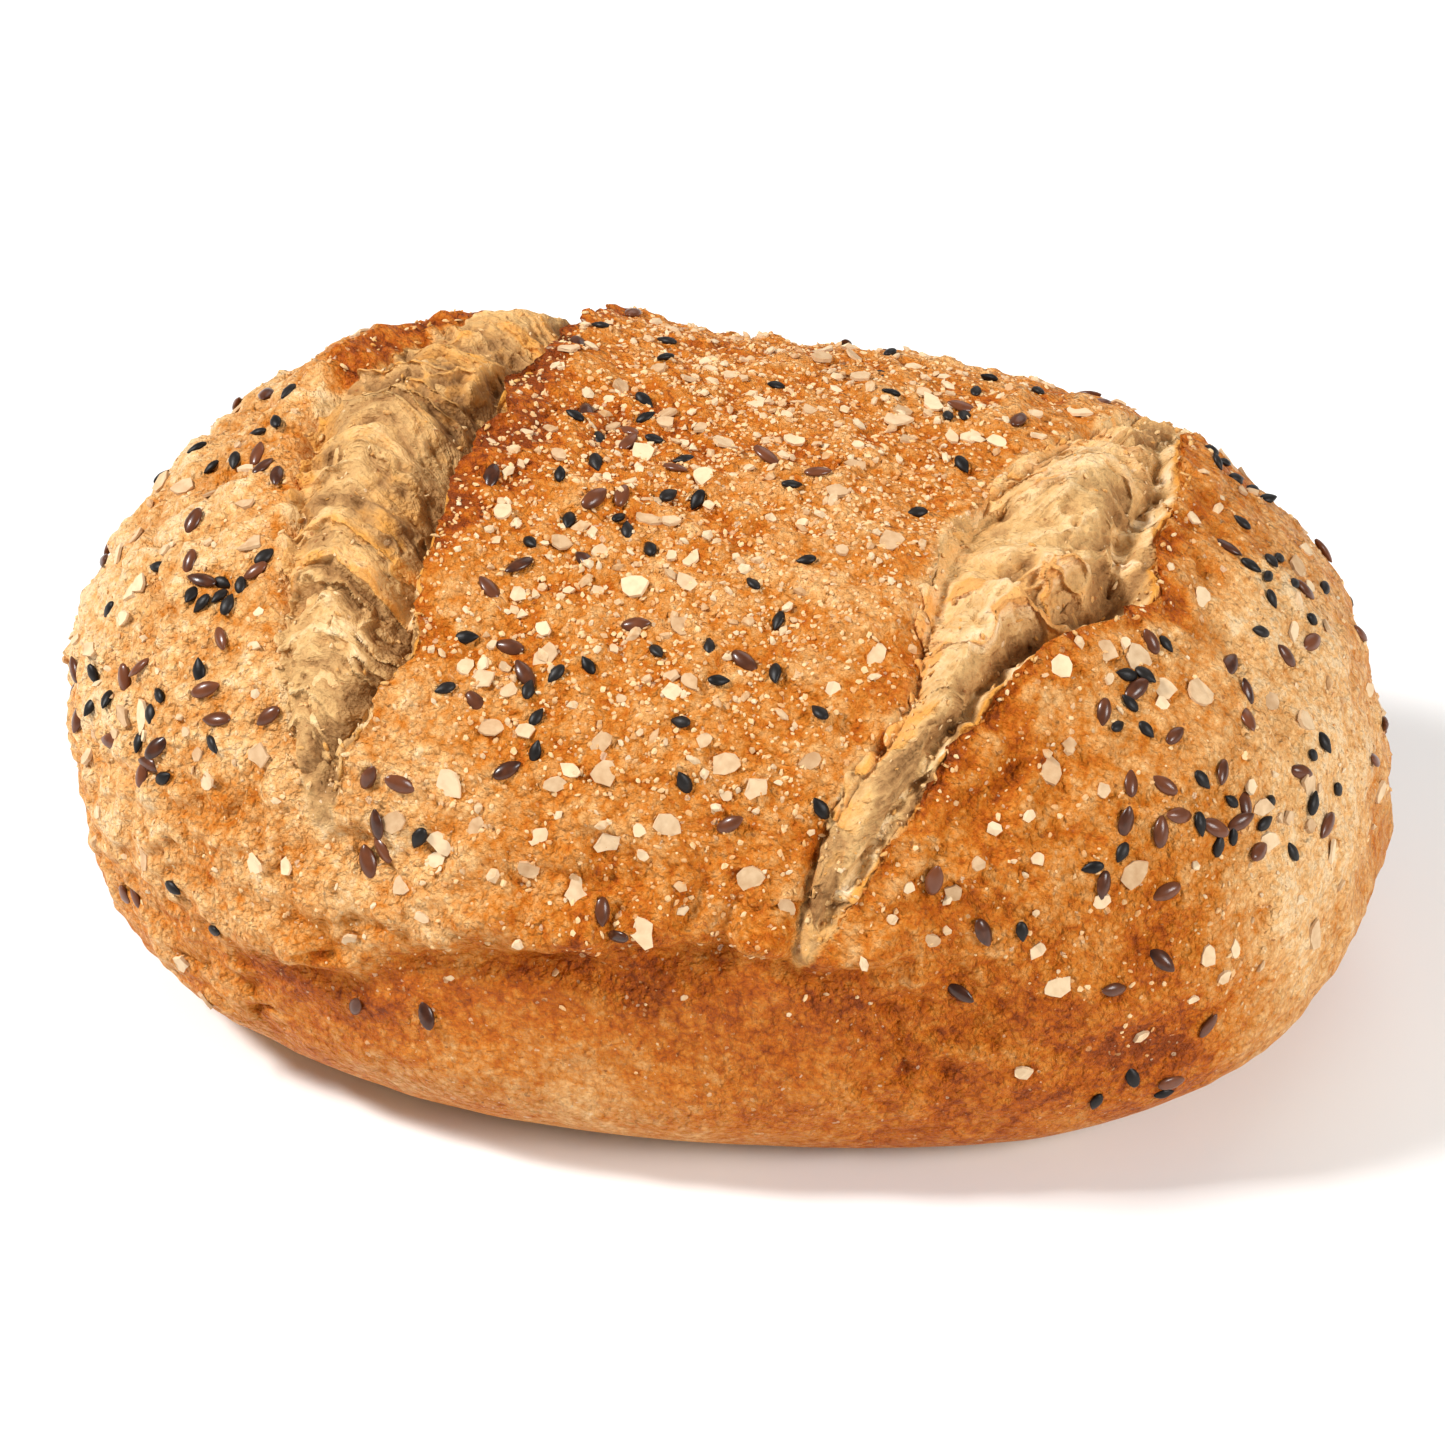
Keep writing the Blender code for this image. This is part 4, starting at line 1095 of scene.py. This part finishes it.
def rampOf(tree, value, stops):
    ramp = addNode(tree, "ShaderNodeValToRGB", links={"Fac": value})
    elements = ramp.color_ramp.elements
    while len(elements) < len(stops):
        elements.new(0.5)
    for element, (position, colour) in zip(elements, stops):
        element.position = position
        element.color = hexColour(colour) if isinstance(colour, str) else (colour, colour, colour, 1.0)
    return ramp.outputs["Color"]


def newMaterial(name):
    material = bpy.data.materials.new(name)
    material.use_nodes = True
    tree = material.node_tree
    shader = tree.nodes["Principled BSDF"]
    coordinates = addNode(tree, "ShaderNodeTexCoord").outputs["Object"]
    return material, tree, shader, coordinates


def noiseOf(tree, coordinates, size, detail=3.0, roughness=0.5):
    # size in metres is the width of one swell of the pattern
    values = {"Scale": 1.0 / size, "Detail": detail, "Roughness": roughness}
    return addNode(tree, "ShaderNodeTexNoise", values, {"Vector": coordinates}).outputs["Fac"]


def mathOf(tree, operation, first, second, third=None):
    node = addNode(tree, "ShaderNodeMath", {"operation": operation})
    for place, value in enumerate((first, second, third)):
        if value is None:
            continue
        if isinstance(value, (int, float)):
            node.inputs[place].default_value = value
        else:
            tree.links.new(value, node.inputs[place])
    return node.outputs[0]


def centred(tree, value):
    # a noise from about -0.2 to 0.2 instead of round 0.5
    return mathOf(tree, "SUBTRACT", value, 0.5)


def addUp(tree, total, *terms):
    # each term is a value and its share
    for value, share in terms:
        total = mathOf(tree, "MULTIPLY_ADD", value, share, total)
    return total


def attributeOf(tree, name, output="Fac"):
    return addNode(tree, "ShaderNodeAttribute", {"attribute_name": name}).outputs[output]


def cellsOf(tree, coordinates, size):
    return addNode(tree, "ShaderNodeTexVoronoi", {"Scale": 1.0 / size}, {"Vector": coordinates}).outputs


def addBump(tree, shader, heights, strength, distance):
    bump = addNode(tree, "ShaderNodeBump", {"Strength": strength, "Distance": distance}, {"Height": heights})
    tree.links.new(bump.outputs["Normal"], shader.inputs["Normal"])


def mixOf(tree, share, first, second, blend="MIX"):
    node = addNode(tree, "ShaderNodeMix", {"data_type": "RGBA", "blend_type": blend})
    for socket, value in ((node.inputs[0], share), (node.inputs[6], first), (node.inputs[7], second)):
        if isinstance(value, str):
            socket.default_value = hexColour(value)
        elif isinstance(value, (int, float)):
            socket.default_value = value
        else:
            tree.links.new(value, socket)
    return node.outputs[2]


# Bread: sourdough crust browned dry in a hot oven, and the crumb that tore open
bread = {
    "crust": ((0.0, "#fbd4a0"), (0.2, "#f2b976"), (0.4, "#de9850"), (0.58, "#d37d25"), (0.75, "#c26308"),
              (0.9, "#aa4e02"), (1.0, "#8a3b01")),
    "crumb": ((0.0, "#7d552d"), (0.25, "#b28552"), (0.5, "#d6aa6e"), (0.75, "#edca96"), (1.0, "#f9e5c4")),
    "gold": "#e09838", "dust": ((0.0, "#e5a05a"), (0.5, "#f0c48b"), (1.0, "#f9e4c4")), "bran": "#8f4d1f",
    "wave": 0.9 * mm,
}


def breadMaterial():
    material, tree, shader, coordinates = newMaterial("oven-browned sourdough crust and torn crumb")
    baked, torn, hollow, flour = (attributeOf(tree, name) for name in ("bake", "torn", "hollow", "flour"))
    wavy = addNode(tree, "ShaderNodeTexNoise", {"Scale": 1.0 / bread["wave"], "Detail": 1.0},
                   {"Vector": coordinates})
    bent = addNode(tree, "ShaderNodeVectorMath", {"operation": "MULTIPLY_ADD", 1: (bread["wave"],) * 3},
                   {0: wavy.outputs["Color"], 2: coordinates}).outputs[0]
    # the crust's pebbly grain: small domes, painted paler on top and darker between, as light and shade on
    # the grain
    pebbles = 0.0
    for size, share in ((1.0 * mm, 0.5), (1.9 * mm, 0.5)):
        pebbles = addUp(tree, pebbles, (cellsOf(tree, bent, size)["Distance"], share))
    broad = centred(tree, noiseOf(tree, coordinates, 8.0 * mm))
    mottle = centred(tree, noiseOf(tree, coordinates, 2.4 * mm, 4.0, 0.6))
    fine = centred(tree, noiseOf(tree, coordinates, 0.8 * mm, 3.0, 0.6))
    between = mathOf(tree, "SUBTRACT", pebbles, 0.42)
    # besides browning and noise, this takes painted shade: the relief's pits and the gaps between domes
    # darker, tops paler
    bake = addUp(tree, baked, (broad, 0.5), (mottle, 0.6), (fine, 0.5), (hollow, -0.24), (between, 0.5))
    crustColour = rampOf(tree, bake, bread["crust"])
    # fibres of the crumb follow its strands
    fibres = centred(tree, noiseOf(tree, attributeOf(tree, "fibre", "Vector"), 1.0, 2.0))
    fibres = mathOf(tree, "MULTIPLY", fibres, torn)
    # the crumb's tone, read from hollow, carries its painted shade in pits, recesses and front cracks
    tone = addUp(tree, 0.57, (hollow, 0.46), (mottle, 0.45), (fine, 0.35), (fibres, 0.3))
    gold = mathOf(tree, "MAXIMUM", addUp(tree, baked, (mottle, 1.4)), 0.0)
    gold = mathOf(tree, "MINIMUM", gold, 0.85)
    crumbColour = mixOf(tree, gold, rampOf(tree, tone, bread["crumb"]), bread["gold"])
    colour = mixOf(tree, torn, crustColour, crumbColour)
    # pale meal baked on in grains, thicker in some spots than others
    plain = addUp(tree, 1.0, (torn, -0.6))
    heights = addUp(tree, 0.0, (fine, 1.3), (mottle, 2.0), (pebbles, -1.3))
    heights = addUp(tree, mathOf(tree, "MULTIPLY", heights, plain), (fibres, 0.5))
    meal = addUp(tree, flour, (broad, 1.2))
    for size, reach, share in ((0.95 * mm, 0.32, 0.42), (2.1 * mm, 0.27, 0.45)):
        cells = cellsOf(tree, bent, size)
        chance = addNode(tree, "ShaderNodeSeparateColor", links={"Color": cells["Color"]}).outputs
        wide = mathOf(tree, "MULTIPLY", chance[0], reach)
        inside = mathOf(tree, "LESS_THAN", cells["Distance"], wide)
        patchy = mathOf(tree, "GREATER_THAN", meal, mathOf(tree, "MULTIPLY", chance[1], 0.9))
        mask = mathOf(tree, "MULTIPLY", inside, patchy)
        dust = rampOf(tree, chance[2], bread["dust"])
        colour = mixOf(tree, mathOf(tree, "MULTIPLY", mask, share), colour, dust)
        heights = addUp(tree, heights, (mask, 0.12))
    dark = mathOf(tree, "LESS_THAN", cellsOf(tree, bent, 2.7 * mm)["Distance"], 0.10)
    colour = mixOf(tree, mathOf(tree, "MULTIPLY", dark, 0.6), colour, bread["bran"])
    shader.inputs["Specular IOR Level"].default_value = 0.18
    tree.links.new(colour, shader.inputs["Base Color"])
    rough = addUp(tree, 0.50, (mottle, 0.5), (torn, 0.25))
    tree.links.new(rough, shader.inputs["Roughness"])
    addBump(tree, shader, heights, 1.0, 1.0 * mm)
    return material


def seedMaterial(name, low, high, roughness, coat, size, bumpDepth):
    # seeds differ from one to the next by their own tone
    material, tree, shader, coordinates = newMaterial(name)
    noise = noiseOf(tree, coordinates, size)
    shade = addUp(tree, -0.2, (attributeOf(tree, "tone"), 0.7), (noise, 0.9))
    colour = rampOf(tree, shade, ((0.1, low), (0.9, high)))
    tree.links.new(colour, shader.inputs["Base Color"])
    shader.inputs["Roughness"].default_value = roughness
    shader.inputs["Coat Weight"].default_value = coat
    shader.inputs["Coat Roughness"].default_value = 0.15
    shader.inputs["Specular IOR Level"].default_value = 0.25
    addBump(tree, shader, noise, 0.5, bumpDepth)
    return material


studio = {
    "azimuth": 18.7, "elevation": 36.0, "distance": 0.7, "look": (-2.71 * mm, 4.26 * mm, 34.06 * mm),
    "lens": 114.5, "sensor": 36.0, "floor": "#f7f6f4", "floorSize": 6.0, "floorHeight": -0.2 * mm,
    "world": 0.27,
    "lamps": (((-0.62, -0.30, 0.78), 0.20, 12.0), ((0.95, -0.30, 0.62), 0.4, 10.0),
              ((0.1, 0.8, 0.7), 0.7, 2.2)),
}


def makeStudio():
    bpy.ops.object.select_all(action="DESELECT")
    bpy.ops.mesh.primitive_plane_add(size=studio["floorSize"], location=(0.0, 0.0, studio["floorHeight"]))
    floor = bpy.context.active_object
    floor.name = "studioFloor"
    floorMaterial, tree, shader, coordinates = newMaterial("pale matt studio paper")
    shader.inputs["Base Color"].default_value = hexColour(studio["floor"])
    shader.inputs["Roughness"].default_value = 0.9
    floor.data.materials.append(floorMaterial)
    world = bpy.data.worlds.new("studio")
    bpy.context.scene.world = world
    world.use_nodes = True
    background = world.node_tree.nodes["Background"]
    background.inputs["Color"].default_value = (1.0, 1.0, 1.0, 1.0)
    background.inputs["Strength"].default_value = studio["world"]
    for number, (spot, size, power) in enumerate(studio["lamps"]):
        data = bpy.data.lights.new(f"softbox{number}", "AREA")
        data.size = size
        data.energy = power
        lamp = bpy.data.objects.new(f"softbox{number}", data)
        lamp.location = spot
        lamp.rotation_euler = (-Vector(spot)).to_track_quat("-Z", "Y").to_euler()
        bpy.context.scene.collection.objects.link(lamp)
    cameraData = bpy.data.cameras.new("camera")
    cameraData.lens = studio["lens"]
    cameraData.sensor_width = studio["sensor"]
    cameraData.clip_start = 0.05
    camera = bpy.data.objects.new("camera", cameraData)
    azimuth = math.radians(studio["azimuth"])
    elevation = math.radians(studio["elevation"])
    back = Vector((math.sin(azimuth) * math.cos(elevation), -math.cos(azimuth) * math.cos(elevation),
                   math.sin(elevation)))
    camera.location = Vector(studio["look"]) + back * studio["distance"]
    camera.rotation_euler = back.to_track_quat("Z", "Y").to_euler()
    bpy.context.scene.collection.objects.link(camera)
    bpy.context.scene.camera = camera
    bpy.context.scene.view_settings.view_transform = "Standard"


def treeOf(pieces):
    # one search tree over the pieces that seeds lie on
    work = bmesh.new()
    for piece in pieces:
        work.from_mesh(piece.data)
    tree = BVHTree.FromBMesh(work)
    work.free()
    return tree


crustPiece = makeCrust()
crumbPieces = [makeCrumb("crumbLeft", leftSlash), makeCrumb("crumbRight", rightSlash)]
lipPieces = [makeLip("lipLeft", leftSlash), makeLip("lipRight", rightSlash)]
seedPieces = sow(treeOf([crustPiece] + lipPieces))
crumbPieces.append(makeShreds(treeOf([crustPiece] + lipPieces + crumbPieces)))

# The seeds' finishes: name, dark and pale tone, roughness, coat, width of a mottle, bump depth
seedFinishes = {
    "blackSesame": ("black sesame seed, satin hull", "#0a0706", "#1f1a17", 0.45, 0.0, 0.7 * mm, 0.1 * mm),
    "linseed": ("brown linseed, glossy hull", "#2b140b", "#6b3b22", 0.30, 0.22, 1.4 * mm, 0.03 * mm),
    "cerealFlakes": ("rolled cereal flake, toasted", "#b78d62", "#e3c7a0", 0.62, 0.0, 1.5 * mm, 0.12 * mm),
    "grainBits": ("broken grain", "#c08c55", "#dfc7a2", 0.65, 0.0, 0.8 * mm, 0.1 * mm),
    "mealGrains": ("fine grain meal, baked on", "#c8843f", "#e6c390", 0.7, 0.0, 0.5 * mm, 0.05 * mm),
}


breadFinish = breadMaterial()
for piece in [crustPiece] + crumbPieces + lipPieces:
    piece.data.materials.clear()
    piece.data.materials.append(breadFinish)
    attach(piece, "root")
    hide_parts("loaf")
for piece in seedPieces:
    piece.data.materials.append(seedMaterial(*seedFinishes[piece.name]))
    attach(piece, "root")
    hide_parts("loaf")

makeStudio()
